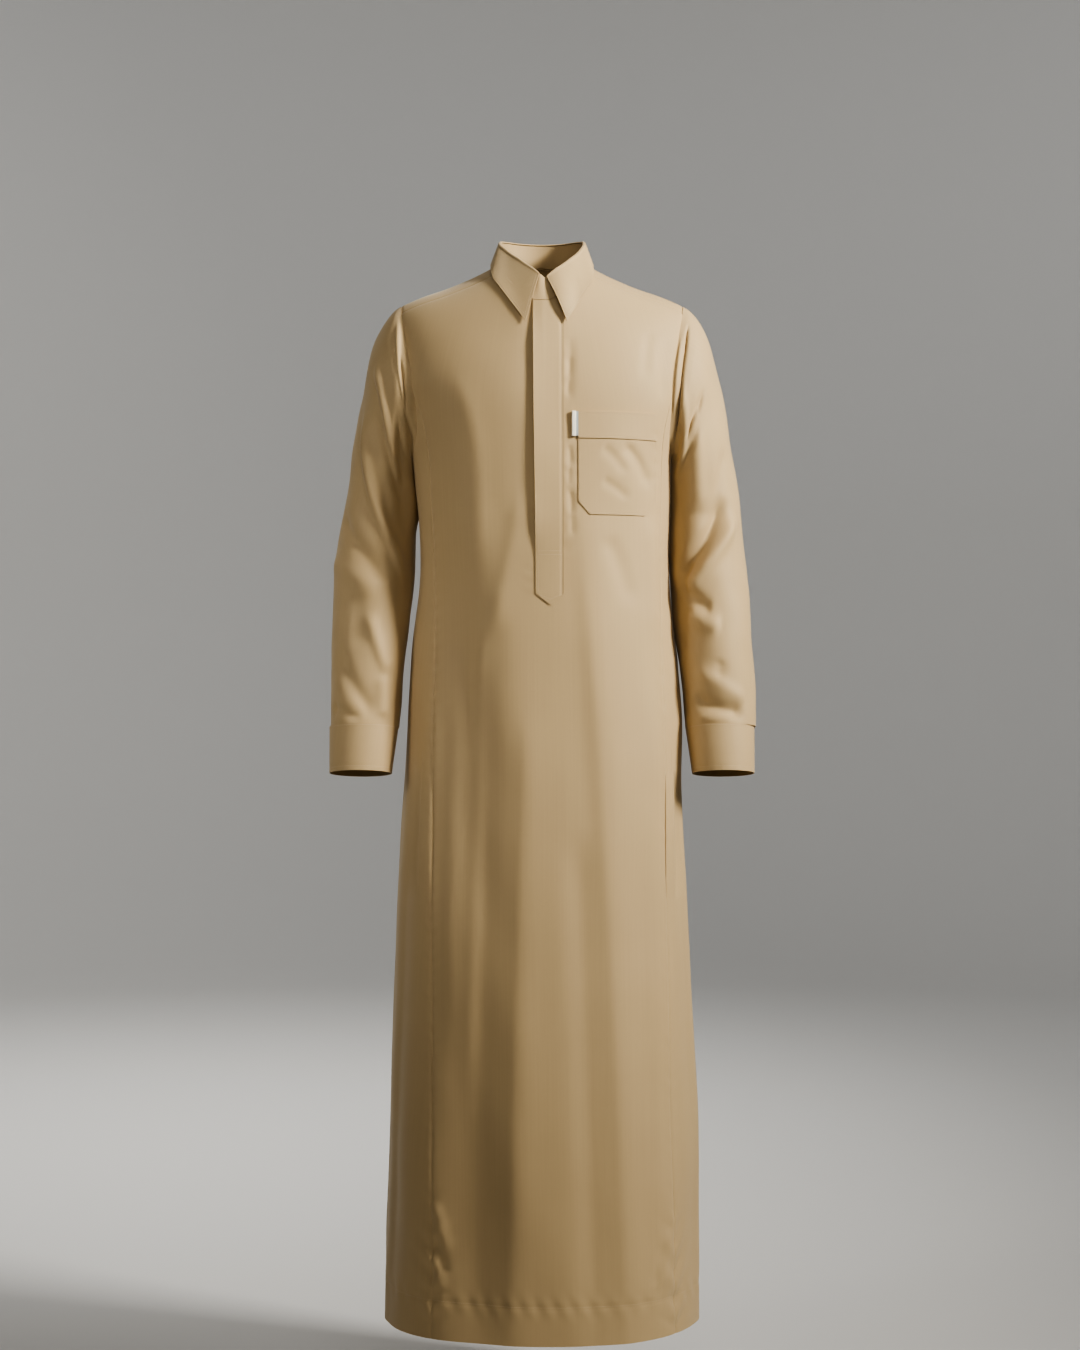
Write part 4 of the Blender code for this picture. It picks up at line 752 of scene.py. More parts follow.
def ripple_relief(points):
    """Small slanted waves beside the front's upright lines of stitches."""
    relief = np.zeros(points.shape[:-1])
    for ripple in RIPPLES:
        away = np.abs(points[..., 0] - ripple.x)
        level = points[..., 2]
        ends = smoothstep(0.0, PUCKER_FADE / 2.0, ripple.top - level)
        ends *= smoothstep(0.0, PUCKER_FADE / 2.0, level - ripple.end)
        place = (ripple.slant * away - level) / ripple.pitch
        wander = RIPPLE_WANDER * np.sin(RIPPLE_WANDER_RATE * level)
        wave = np.sin(2.0 * math.pi * place + ripple.phase + wander)
        relief += ripple.rise * ends * wave * bump(away, ripple.reach)
    return relief


def drift_relief(points, rate):
    """Sum of the slow waves through space that keep hung cloth from lying even."""
    waves = (drift.rise * np.sin(2.0 * math.pi * (points @ np.array(drift[:3]) * rate) + drift.phase)
             for drift in DRIFTS)
    return sum(waves)


def body_relief(points, normals, down):
    """Sum of the body's folds at each point, each kept to its own side, with drift and hem."""
    facing = {
        "front": -normals[..., 1],
        "back": normals[..., 1],
        "left": -normals[..., 0],
        "right": normals[..., 0],
    }
    relief = hem_relief(points) + ripple_relief(points) * (facing["front"] > RIPPLE_FACING)
    for fold in BODY_FOLDS:
        plane = points[..., (0, 2)] if fold.side in ("front", "back") else points[..., (1, 2)]
        relief += fold_rise(plane, fold) * smoothstep(*FOLD_FACING, facing[fold.side])
    return relief + drift_relief(points, 1.0) * smoothstep(*DRIFT_FADE, np.abs(down))


def folded_flat(x, down):
    """Front, back or yoke points with their folds, and the smooth body's normals there."""
    base = flat_point(x, down)
    normals = surface_normals(flat_point, x, down, 1.0)
    return base + normals * body_relief(base, normals, down)[..., None], normals


def folded_side(angle, down, side):
    """Side panel points with their folds, and the smooth body's normals there."""
    def surface(first, second):
        return side_point(first, second, side)
    base = surface(angle, down)
    normals = surface_normals(surface, angle, down, -float(side))
    return base + normals * body_relief(base, normals, down)[..., None], normals


def seam_groove(gap):
    """Depth of the rolled-in groove at a distance from a seam, as a bell."""
    return -SEAM_DIP * bump(gap, SEAM_DIP_WIDTH)


def seam_relief(gap, level, seam):
    """A seam's groove, and slanted puckers that fade away from it."""
    relief = seam_groove(gap)
    for pucker in PUCKERS:
        if pucker.seam == seam:
            ends = smoothstep(0.0, PUCKER_FADE, pucker.top - level)
            ends *= smoothstep(0.0, PUCKER_FADE / 4.0, level - pucker.end + PUCKER_FADE / 8.0)
            place = (pucker.slant * gap - level) / pucker.pitch
            wander = np.sin(PUCKER_WANDER_RATE * level + pucker.phase)
            wave = np.sin(2.0 * math.pi * place + pucker.phase + wander)
            relief += pucker.rise * ends * wave * np.exp(-(gap / pucker.reach) ** PUCKER_FALLOFF)
    return relief


def row_distance(points):
    """Distance of each point along its row from the row's first and from its last point."""
    steps = np.linalg.norm(np.diff(points, axis=1), axis=-1)
    run = np.concatenate((np.zeros((len(points), 1)), np.cumsum(steps, axis=1)), axis=1)
    return run, run[:, -1:] - run


def rise_distance(points):
    """Distance of each point up its column from the column's first and from its last point."""
    first, last = row_distance(np.swapaxes(points, 0, 1))
    return first.T, last.T


def front_levels():
    """Levels of the front's rows from the hem to the pocket's top edge, through every sewn edge."""
    knots = (HEM_LEVEL, HEM_STITCH_LEVEL, PLACKET_TIP_LEVEL, PLACKET_CORNER_LEVEL, SLOT_END_LEVEL,
             POCKET_END_LEVEL, CHAMFER_LEVEL, BAND_END_LEVEL, POCKET_TOP_LEVEL)
    return spread(knots, CELL)


def front_columns():
    """Distances across of the front's upright columns between its two edge stretches.

    They pass through every upright edge sewn onto the front, and lie closer over the dents beside the
    placket.
    """
    knots = (LEFT_COLUMN_X, -NECK_CORNER_X, PLACKET_LEFT_X, SLOT_LEFT_X, PLACKET_CENTRE_X,
             PLACKET_LINE_X, PLACKET_RIGHT_X)
    dents = tuple(PLACKET_RIGHT_X + step * FINE_CELL for step in range(1, DENT_COLUMNS + 1))
    return spread(knots + dents + (POCKET_LEFT_X, NECK_CORNER_X, POCKET_RIGHT_X), CELL)


def yoke_seam_down(x):
    """Distance down of the level back yoke seam at a distance across."""
    ridge = read(RIDGES, "out", "height", np.abs(x))
    return CREST * 2.0 / math.pi * np.arccos((YOKE_SEAM_LEVEL - CHEST_LEVEL) / (ridge - CHEST_LEVEL))


def armhole_x(down):
    """Distance of the armhole from the middle, for its part above the side panels."""
    angle = read(ARMHOLE_ABOVE_GORES, "down", "girth_angle", down)
    return read(GIRTHS, "down", "half_width", down) * np.sin(np.radians(angle)) ** (2.0 / ROUNDNESS)


def seam_x(down, field):
    """Distance of a side seam from the middle, or of the armhole above it."""
    seam = read(GIRTHS, "down", field, down)
    return np.where(down > GORE_TOP_DOWN - TOLERANCE, seam, armhole_x(np.minimum(down, GORE_TOP_DOWN)))


def neck_down(x):
    """Distance down of the front's top edge: the neckline's half oval, and the yoke seam beside it."""
    inside = np.clip(1.0 - (x / NECK_HALF_WIDTH) ** 2, 0.0, 1.0)
    in_neck = np.abs(x) < NECK_CORNER_X - TOLERANCE
    return np.where(in_neck, NECK_FRONT_DOWN * np.sqrt(inside), YOKE_FRONT_DOWN)


def fan_down(x, downs):
    """Distances down of the front's rows: level up to the chest, then fanned to the neckline."""
    chest = level_to_down(POCKET_TOP_LEVEL)
    share = np.clip((chest - downs) / (chest - YOKE_FRONT_DOWN), 0.0, 1.0)[:, None]
    return np.where(share > 0.0, chest + (neck_down(x) - chest) * share, downs[:, None])


def front_downs():
    """Distances down of the front's rows along its side seams and armholes, from the hem up."""
    chest = level_to_down(POCKET_TOP_LEVEL)
    shoulder = spread((chest, GORE_TOP_DOWN, YOKE_FRONT_DOWN), CELL)
    return np.concatenate((level_to_down(front_levels()), shoulder[1:]))


def front_grid():
    """Places across and distances down of the front panel's points."""
    downs = front_downs()
    columns = front_columns()
    left = -seam_x(downs, "left_seam")[:, None]
    right = seam_x(downs, "right_seam")[:, None]
    x = np.concatenate((
        left + (columns[0] - left) * EDGE_SHARES,
        np.tile(columns, (len(downs), 1)),
        right + (columns[-1] - right) * EDGE_SHARES[::-1],
    ), axis=1)
    past_neck = np.ones(len(EDGE_SHARES))
    return x, fan_down(np.concatenate((-past_neck, columns, past_neck)), downs)


def sewn(points, normals, left, right):
    """A panel's points with its seam grooves and puckers: left and right name its border seams."""
    first, last = row_distance(points)
    top = rise_distance(points)[1]
    level = points[..., 2]
    relief = seam_relief(first, level, left) + seam_relief(last, level, right) + seam_groove(top)
    return points + normals * relief[..., None]


def front_points():
    """Front panel points with its folds and seams, and which cells are cloth: the slot's are cut out."""
    x, down = front_grid()
    points, normals = folded_flat(x, -down)
    first, last = nearest(x[0], SLOT_LEFT_X), nearest(x[0], PLACKET_CENTRE_X)
    keep = np.ones((x.shape[0] - 1, x.shape[1] - 1), dtype=bool)
    keep[nearest(down[:, first], level_to_down(SLOT_END_LEVEL)):, first:last] = False
    return sewn(points, normals, "front_left", "front_right"), keep


def back_grid():
    """Places across and distances down of the back panel, columns from +X to -X."""
    chest = level_to_down(POCKET_TOP_LEVEL)
    edge_down = float(yoke_seam_down(YOKE_SEAM_EDGE))
    body = level_to_down(front_levels())
    downs = np.concatenate((body, spread((chest, GORE_TOP_DOWN, edge_down), CELL)[1:]))
    right = seam_x(downs, "right_seam")
    left = seam_x(downs, "left_seam")
    share = edged(BACK_FINE_SHARE, CELL / BACK_MEAN_WIDTH)
    x = right[:, None] + (-left - right)[:, None] * share
    rise = np.clip((chest - downs) / (chest - edge_down), 0.0, 1.0)[:, None]
    down = np.where(rise > 0.0, chest + (yoke_seam_down(x[-1]) - chest) * rise, downs[:, None])
    down[:, 0] = down[:, -1] = downs
    return x, down


def back_points():
    """Back panel points with its folds and seams; all its cells are cloth."""
    points, normals = folded_flat(*back_grid())
    return sewn(points, normals, "back_right", "back_left"), None


def mouth_relief(down):
    """How far the lips of a side pocket's mouth part, from none at its ends to all at its middle."""
    top = level_to_down(MOUTH_TOP_LEVEL)
    end = level_to_down(MOUTH_END_LEVEL)
    share = (down - top) / (end - top)
    inside = (share > 0.0) & (share < 1.0)
    return np.where(inside, np.sin(math.pi * np.clip(share, 0.0, 1.0)), 0.0) ** MOUTH_FULLNESS


def side_shares():
    """Shares of a side panel's width at its columns, from the front seam to the back seam."""
    cell = CELL / SIDE_MEAN_WIDTH
    front = SIDE_FINE_SHARE * EDGE_SHARES
    ahead = spread((SIDE_FINE_SHARE, MOUTH_SHARES[0]), cell)
    behind = spread((MOUTH_SHARES[1], 1.0 - SIDE_FINE_SHARE), cell)
    return np.concatenate((front, ahead, behind, 1.0 - front[::-1]))


def side_grid(side):
    """Girth angles and distances down of a side panel's points, squeezed down under the armhole."""
    field = "right_seam" if side > 0 else "left_seam"
    chest = level_to_down(POCKET_TOP_LEVEL)
    knots = (HEM_LEVEL, HEM_STITCH_LEVEL, MOUTH_END_LEVEL, MOUTH_TOP_LEVEL, POCKET_TOP_LEVEL)
    body = level_to_down(spread(knots, CELL))
    downs = np.concatenate((body, spread((chest, GORE_TOP_DOWN), CELL)[1:]))
    front_angle = girth_angle(seam_x(downs, field), downs)
    angle = front_angle[:, None] + (180.0 - 2.0 * front_angle)[:, None] * side_shares()
    folded = 90.0 - np.abs(angle[-1] - 90.0)
    top = read(ARMHOLE_ON_GORES, "girth_angle", "down", folded)
    top[0] = top[-1] = GORE_TOP_DOWN
    squeeze = (GORE_BLEND_DOWN - top) / (GORE_BLEND_DOWN - GORE_TOP_DOWN)
    above = GORE_BLEND_DOWN - (GORE_BLEND_DOWN - downs)[:, None] * squeeze
    return angle, np.where(downs[:, None] < GORE_BLEND_DOWN, above, downs[:, None])


def side_points(side):
    """Side panel points with the pocket mouth's parted lips, and which cells are cloth.

    The mouth is the thin column of cells between its two shares. Beside it the front lip is moved out and
    forwards and the back lip in and backwards, as bells of the distance from the mouth.
    """
    angle, down = side_grid(side)
    points, normals = folded_side(angle, down, side)
    word = "right" if side > 0 else "left"
    points = sewn(points, normals, "front_" + word, "back_" + word)
    shares = side_shares()
    front = nearest(shares, MOUTH_SHARES[0])
    run = row_distance(points)[0]
    across = points[:, front + 1] - points[:, front]
    across /= np.linalg.norm(across, axis=-1, keepdims=True)
    ahead = np.arange(len(shares)) <= front
    lip = np.where(ahead, run[:, front:front + 1] - run, run - run[:, front + 1:front + 2])
    fade = bump(lip, MOUTH_LIP_WIDTH) * mouth_relief(down)
    rise = np.where(ahead, MOUTH_LIP_RISE, -MOUTH_LIP_SINK) * fade
    parting = np.where(ahead, -MOUTH_PARTING, MOUTH_PARTING) * fade
    points = points + normals * rise[..., None] + across[:, None, :] * parting[..., None]
    keep = np.ones((points.shape[0] - 1, points.shape[1] - 1), dtype=bool)
    keep[:, front] = mouth_relief((down[1:, front] + down[:-1, front]) / 2.0) <= 0.0
    if side < 0:
        return points[:, ::-1], keep[:, ::-1]
    return points, keep


def yoke_grid():
    """Places across and distances down of the yoke: front seam and neck first, back seam last.

    Each column runs from the front to the back in shares that are finer at both ends, bowed out beside
    the neck by a parabola. The outer columns are then drawn onto the armholes, by less the nearer they
    lie to the neck.
    """
    edge = float(armhole_x(np.array(YOKE_FRONT_DOWN)))
    reach = edge - NECK_CORNER_X
    right = edge - reach * (1.0 - edged(YOKE_FINE_SHARE, CELL / reach))
    left = -right[::-1]
    corner = math.degrees(math.asin(NECK_CORNER_X / NECK_HALF_WIDTH))
    turns = np.radians(np.linspace(-corner, corner - 360.0, YOKE_NECK_CELLS + 1)[1:-1])
    neck_reach = np.where(np.cos(turns) > 0.0, NECK_FRONT_DOWN, NECK_BACK_DOWN)
    top_x = np.concatenate((left, NECK_HALF_WIDTH * np.sin(turns), right))
    top_down = np.concatenate((
        np.full(len(left), -YOKE_FRONT_DOWN),
        -neck_reach * np.cos(turns),
        np.full(len(right), -YOKE_FRONT_DOWN),
    ))
    back_edge = float(armhole_x(yoke_seam_down(YOKE_SEAM_EDGE)))
    left_share = (left[-1] - left) / (left[-1] - left[0])
    right_share = (right - right[0]) / (right[-1] - right[0])
    bottom_x = np.concatenate((
        -YOKE_BACK_HALF - (back_edge - YOKE_BACK_HALF) * left_share,
        np.linspace(-YOKE_BACK_HALF, YOKE_BACK_HALF, YOKE_NECK_CELLS + 1)[1:-1],
        YOKE_BACK_HALF + (back_edge - YOKE_BACK_HALF) * right_share,
    ))
    bow = np.concatenate((left_share - 1.0, np.zeros(len(turns)), 1.0 - right_share)) * YOKE_ROUND_NECK
    share = edged(YOKE_FINE_SHARE, CELL / YOKE_MEAN_DEPTH)[:, None]
    down = top_down + (yoke_seam_down(bottom_x) - top_down) * share
    x = top_x + (bottom_x - top_x) * share + bow * 4.0 * share * (1.0 - share)
    middle = np.zeros(len(turns))
    fades = ((0, -1.0, np.concatenate((left_share, middle, np.zeros(len(right))))),
             (-1, 1.0, np.concatenate((np.zeros(len(left)), middle, right_share))))
    for border, side, fade in fades:
        drift = side * armhole_x(np.abs(down[:, border])) - x[:, border]
        x = x + drift[:, None] * fade
    return x, down


def yoke_points():
    """Yoke points with a groove along all four borders.

    Its columns are turned, which puts its wall on the inner side of its points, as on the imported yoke.
    """
    points, normals = (grid[:, ::-1] for grid in folded_flat(*yoke_grid()))
    relief = sum(seam_groove(gap) for gap in row_distance(points) + rise_distance(points))
    return points + normals * relief[..., None]


def placket_lift(x, down, top_down):
    """How far the overlap's free left edge stands off, from none at its stitching and its foot."""
    across = (PLACKET_RIGHT_X - x) / (PLACKET_RIGHT_X - PLACKET_LEFT_X)
    opening = 1.0 - smoothstep(*PLACKET_OPEN_FADE, down)
    top = smoothstep(0.0, PLACKET_NECK_FADE, down - top_down)
    return PLACKET_LIFT * np.clip(across, 0.0, 1.0) ** PLACKET_LIFT_CURVE * opening * top


def placket_grid(first, last, low_level, pointed):
    """Places across and down of a strip between two columns, from a level up to the neckline.

    A pointed strip's rows below its corners slope down from both edges to its tip.
    """
    line = last - PLACKET_GROOVE_INSET
    columns = spread((first, PLACKET_CENTRE_X, line - PLACKET_GROOVE_INSET, line, last), FINE_CELL)
    downs = front_downs()
    downs = downs[downs <= level_to_down(low_level) + TOLERANCE]
    x = np.tile(columns, (len(downs), 1))
    down = fan_down(columns, downs)
    down = down + PLACKET_NECK_TRIM * smoothstep(-PLACKET_TRIM_FADE, 0.0, neck_down(columns) - down)
    if pointed:
        reach = np.where(columns > PLACKET_CENTRE_X, last - PLACKET_CENTRE_X, PLACKET_CENTRE_X - first)
        slope = np.abs(columns - PLACKET_CENTRE_X) / reach
        corner = level_to_down(PLACKET_CORNER_LEVEL)
        foot = level_to_down(PLACKET_TIP_LEVEL)
        low = downs > corner + TOLERANCE
        share = (downs[low] - corner) / (foot - corner)
        tip = foot + (corner - foot) * np.clip(slope, 0.0, PLACKET_SLOPE_END)
        down[low] = corner + (tip - corner) * share[:, None]
    return x, down


def placket_points():
    """Overlap strip points: on the front panel, lifted along the free edge, pointed at the foot.

    Its free edge and middle drift to the right on their way down, and a groove follows its stitching.
    """
    x, down = placket_grid(PLACKET_LEFT_X, PLACKET_RIGHT_X, PLACKET_TIP_LEVEL, True)
    places = (PLACKET_LEFT_X, PLACKET_CENTRE_X, PLACKET_RIGHT_X)
    drift = np.interp(x, places, (PLACKET_EDGE_DRIFT, PLACKET_CENTRE_DRIFT, 0.0))
    drift = drift * smoothstep(NECK_FRONT_DOWN, level_to_down(PLACKET_CORNER_LEVEL), down)
    lift = placket_lift(x, down, neck_down(x))
    points, normals = folded_flat(x + drift, -down)
    lift -= PLACKET_GROOVE * bump(PLACKET_RIGHT_X - PLACKET_GROOVE_INSET - x, PLACKET_GROOVE_WIDTH)
    return points + normals * (BODY_CLOTH + SEAM_GAP + lift)[..., None]


def underlap_points():
    """Strip behind the slot, on the inner side of the front panel."""
    foot = SLOT_END_LEVEL - UNDERLAP_BELOW_SLOT
    x, down = placket_grid(PLACKET_LEFT_X, PLACKET_LINE_X, foot, False)
    points, normals = folded_flat(x, -down)
    return points - normals * (SEAM_GAP + FINE_CLOTH)


def pocket_columns():
    """Distances across of the pocket's and its band's columns, through the cut corners' ends."""
    knots = (POCKET_LEFT_X, POCKET_LEFT_X + CHAMFER_WIDTH, POCKET_RIGHT_X - CHAMFER_WIDTH, POCKET_RIGHT_X)
    return spread(knots, POCKET_CELL)


def on_pocket(x, level, height_share, seat):
    """Points that lie a seat off the front, on the pocket's belly: half a sine wave each way."""
    points, normals = folded_flat(x, -level_to_down(level))
    across = (x - POCKET_LEFT_X) / (POCKET_RIGHT_X - POCKET_LEFT_X)
    belly = POCKET_BELLY * np.sin(math.pi * across) * np.sin(math.pi * height_share)
    return points + normals * (seat + belly)[..., None]


def pocket_points():
    """Patch pocket points with both lower corners cut across, slightly bellied between its seams."""
    columns = pocket_columns()
    levels = spread((POCKET_END_LEVEL, CHAMFER_LEVEL, BAND_END_LEVEL, POCKET_TOP_LEVEL), POCKET_CELL)
    x = np.tile(columns, (len(levels), 1))
    in_corner = np.minimum(columns - POCKET_LEFT_X, POCKET_RIGHT_X - columns) / CHAMFER_WIDTH
    foot = POCKET_END_LEVEL + (CHAMFER_LEVEL - POCKET_END_LEVEL) * np.clip(1.0 - in_corner, 0.0, 1.0)
    share = (levels - POCKET_END_LEVEL) / (POCKET_TOP_LEVEL - POCKET_END_LEVEL)
    level = foot + (POCKET_TOP_LEVEL - foot) * share[:, None]
    return on_pocket(x, level, np.clip(share, 0.0, 1.0)[:, None], BODY_CLOTH + SEAM_GAP)


def band_points():
    """Band over the pocket's mouth, with the same belly beneath it."""
    x, level = np.meshgrid(pocket_columns(), spread((BAND_END_LEVEL, POCKET_TOP_LEVEL), FINE_CELL))
    share = (level - POCKET_END_LEVEL) / (POCKET_TOP_LEVEL - POCKET_END_LEVEL)
    return on_pocket(x, level, share, BODY_CLOTH + FINE_CLOTH + 2.0 * SEAM_GAP)


def neck_point(turn):
    """Body point on the neckline; turn in degrees, 0 front middle, 90 the wearer's left."""
    angle = np.radians(turn)
    reach = np.where(np.cos(angle) > 0.0, NECK_FRONT_DOWN, NECK_BACK_DOWN)
    points, normals = folded_flat(NECK_HALF_WIDTH * np.sin(angle), -reach * np.cos(angle))
    return points + normals * (BODY_CLOTH + STAND_SEAT)


def fold_point(turn):
    """Point on the collar's fold line: an oval, pressed towards a straight line over each leaf.

    The straight line joins the oval's points at the two ends of the pressed stretch, and the press moves
    each point a part of the way to it. Its height is read from the fold line's table.
    """
    angle = np.radians(turn)
    depth = np.where(np.cos(angle) > 0.0, FOLD_FRONT_DEPTH, FOLD_BACK_DEPTH)
    around = np.arctan2(np.sin(angle), np.cos(angle))
    lean = FOLD_LOWEST_TURN * np.clip(np.cos(angle), 0.0, 1.0)
    height = read(FOLD_LINES, "turn", "height", np.abs(np.degrees(around) - lean))
    first, last = np.radians(FOLD_FLAT_TURNS)
    share = (np.abs(around) - first) / (last - first)
    press = np.where(around < 0.0, FOLD_FLAT_LEFT, FOLD_FLAT_RIGHT) * ((share > 0.0) & (share < 1.0))
    flat_x = math.sin(first) + (math.sin(last) - math.sin(first)) * share
    flat_y = math.cos(first) + (math.cos(last) - math.cos(first)) * share
    across = np.sin(angle) + press * (np.sign(around) * flat_x - np.sin(angle))
    forward = np.cos(angle) + press * (flat_y - np.cos(angle))
    return np.stack((FOLD_HALF_WIDTH * across, -depth * forward, height), axis=-1)


def outward(turn):
    """Level direction out from the neck's middle."""
    angle = np.radians(turn)
    return np.stack((np.sin(angle), -np.cos(angle), np.zeros_like(angle)), axis=-1)


def stand_points():
    """Collar stand points: a band round the neck whose inner end is tucked behind its outer end."""
    turns = np.linspace(STAND_INNER_END, STAND_OUTER_END, COLLAR_STEPS * 2 + 1)
    tuck = STAND_TUCK * (1.0 - smoothstep(*STAND_TUCK_FADE, turns[0] - turns))
    low = neck_point(turns) - outward(turns) * tuck[:, None]
    high = fold_point(turns) - outward(turns) * tuck[:, None]
    low[..., 2] += tuck * STAND_TUCK_LIFT
    high[..., 2] += STAND_FRONT_RISE * bump(np.abs(turns + 180.0) - 180.0, STAND_FRONT_REACH)
    share = np.linspace(0.0, 1.0, STAND_ROWS)[:, None, None]
    return (low + (high - low) * share)[:, ::-1]


def fall_points():
    """Collar fall points: rolled over the stand's top edge and down to two pointed leaves.

    The first rows follow the roll's table out from the fold line. The others go in straight steps from
    the roll's shoulder to the fall's edge on the body, bowed out by half a sine wave.
    """
    half = np.linspace(0.0, 1.0, COLLAR_STEPS)
    steps = np.concatenate((half, half[-2::-1]))
    side = np.where(np.arange(len(steps)) < COLLAR_STEPS, -1.0, 1.0)
    first_turn = np.where(side < 0.0, LEAF_LEFT_TURN, LEAF_RIGHT_TURN)
    turn = side * (first_turn + (180.0 - first_turn) * steps)
    fold = fold_point(turn)
    out = outward(turn)
    left = side < 0.0

    def leaf(field):
        """A leaf table's column along the whole edge, the left leaf's on its own half."""
        return np.where(left, read(LEFT_LEAF, "step", field, steps), read(RIGHT_LEAF, "step", field, steps))

    edge, normals = folded_flat(leaf("out") * side, leaf("down"))
    edge = edge + normals * (BODY_CLOTH + leaf("clear"))[:, None]
    opening = np.where(left, LEAF_LEFT_OPENING, LEAF_RIGHT_OPENING)
    opening = opening * (1.0 - smoothstep(0.0, LEAF_OPENING_FADE, steps))
    places = np.arange(len(FOLD_ROLL))
    fine = np.linspace(0.0, len(FOLD_ROLL) - 1.0, FALL_ROLL_ROWS)
    roll_out = smooth(fine, places, column(FOLD_ROLL, "out"))
    roll_up = smooth(fine, places, column(FOLD_ROLL, "up"))
    rows = [fold + out * roll_share + UP * rise for roll_share, rise in zip(roll_out, roll_up)]
    shoulder = rows[-1]
    for share in np.linspace(0.0, 1.0, FALL_ROWS)[1:]:
        bulge = (COLLAR_BULGE + opening) * math.sin(math.pi * share)
        rows.append(shoulder + (edge - shoulder) * share + out * bulge[:, None])
    return np.stack(rows)[::-1, ::-1]


def armhole_points(turn, side):
    """Body points on the armhole, on the same line as the panels' edges; 0 the shoulder, 90 front."""
    folded = 180.0 - np.abs(turn - 180.0)
    down = read(ARMHOLES, "turn", "down", folded)
    upper = read(ARMHOLE_ABOVE_GORES, "down", "girth_angle", np.minimum(down, GORE_TOP_DOWN))
    under = read(ARMHOLES, "turn", "girth_angle", folded)
    lower_down = read(ARMHOLE_ON_GORES, "girth_angle", "down", under)
    above = folded <= ARMHOLE_ON_GORES[0].turn
    angle = np.where(above, upper, under)
    down = np.where(above, down, lower_down)
    angle = np.where(turn > 180.0, 180.0 - angle, angle)
    points, normals = folded_side(angle, down, side)
    return points - normals * SEAM_DIP


def arm_rings(sections, side, count, turn):
    """Rings through a table of sleeve sections, read smoothly from its first row to its last.

    A ring is middle + reach cos(turn) + front sin(turn), with reach from the inner to the outer edge.
    """
    places = np.arange(len(sections))
    at = np.linspace(0.0, len(sections) - 1.0, count)
    field = {name: smooth(at, places, column(sections, name)) for name in ArmSection._fields}
    zero = np.zeros(count)
    outer = np.stack((field["outer_x"], zero, field["outer_z"]), axis=-1)
    inner = np.stack((field["inner_x"], zero, field["inner_z"]), axis=-1)
    middle = (outer + inner) / 2.0
    middle[:, 1] += field["back"]
    reach = (outer - inner) / 2.0
    front = np.stack((zero, -field["half_depth"], field["pitch"] * field["half_depth"]), axis=-1)
    angle = np.radians(turn)[None, :, None]
    rings = middle[:, None] + reach[:, None] * np.cos(angle) + front[:, None] * np.sin(angle)
    return rings * np.array((side, 1.0, 1.0)), at


def sleeve_turns():
    """Angles in degrees of the columns round a sleeve or cuff."""
    return np.arange(SLEEVE_COLUMNS) * 360.0 / SLEEVE_COLUMNS


def sleeve_relief(count, turn, folds):
    """Sum of a sleeve's folds at each ring point, fading to none at the armhole and the cuff.

    The sleeve is unrolled to a plane, round it by along it in metres, and laid out three times side by
    side, so that a fold may cross its seam.
    """
    length = np.linspace(0.0, 1.0, count)
    relief = np.zeros((count, len(turn)))
    for lap in (-360.0, 0.0, 360.0):
        around = np.radians(turn + lap)[None, :] * SLEEVE_RADIUS
        plane = np.stack(np.broadcast_arrays(around, length[:, None] * SLEEVE_LENGTH), axis=-1)
        for fold in folds:
            places = [(math.radians(angle) * SLEEVE_RADIUS, share * SLEEVE_LENGTH)
                      for angle, share in fold[:3]]
            relief += fold_rise(plane, SleeveFold(*places, *fold[3:]))
    ends = smoothstep(0.0, SLEEVE_TOP_FADE, length) * smoothstep(0.0, SLEEVE_CUFF_FADE, 1.0 - length)
    return relief * ends[:, None]


def sleeve_points(side, folds):
    """A sleeve's rings: the first on the armhole, the next ones eased towards it."""
    turn = sleeve_turns()
    count = int(SLEEVE_LENGTH / SLEEVE_CELL)
    rings, at = arm_rings(ARM_SECTIONS, side, count, turn)
    folded = 180.0 - np.abs(turn - 180.0)
    under = smoothstep(*UNDERARM_FADE, folded)
    share = np.interp(at, np.arange(len(ARMHOLE_EASE)), ARMHOLE_EASE)
    ease = armhole_points(turn, side) - rings[0]
    reach = share[:, None] * (1.0 - under * np.clip(at, 0.0, 1.0)[:, None])
    rings = rings + ease * reach[..., None]
    normals = grid_normals(rings, closed=True) * side
    drift = drift_relief(rings, SLEEVE_DRIFT_RATE) * smoothstep(*SLEEVE_DRIFT_FADE, at)[:, None]
    return rings + normals * (sleeve_relief(count, turn, folds) + drift)[..., None]


def cuff_points(side):
    """A cuff's rings, from the sleeve down to its turned edge."""
    return arm_rings(CUFF_SECTIONS, side, CUFF_RINGS, sleeve_turns())[0]


def tab_frame():
    """Middle of the tab's left edge on the front's surface, and its level directions across and out."""
    middle = (POCKET_TOP_LEVEL + BAND_END_LEVEL) / 2.0 + TAB_RISE
    x = np.array([TAB_LEFT_X, TAB_LEFT_X + TAB_WIDTH])
    left, right = folded_flat(x, np.full(2, -level_to_down(middle)))[0]
    across = (right - left) * (1.0 - UP)
    across /= np.linalg.norm(across)
    return left, across, np.cross(across, UP)


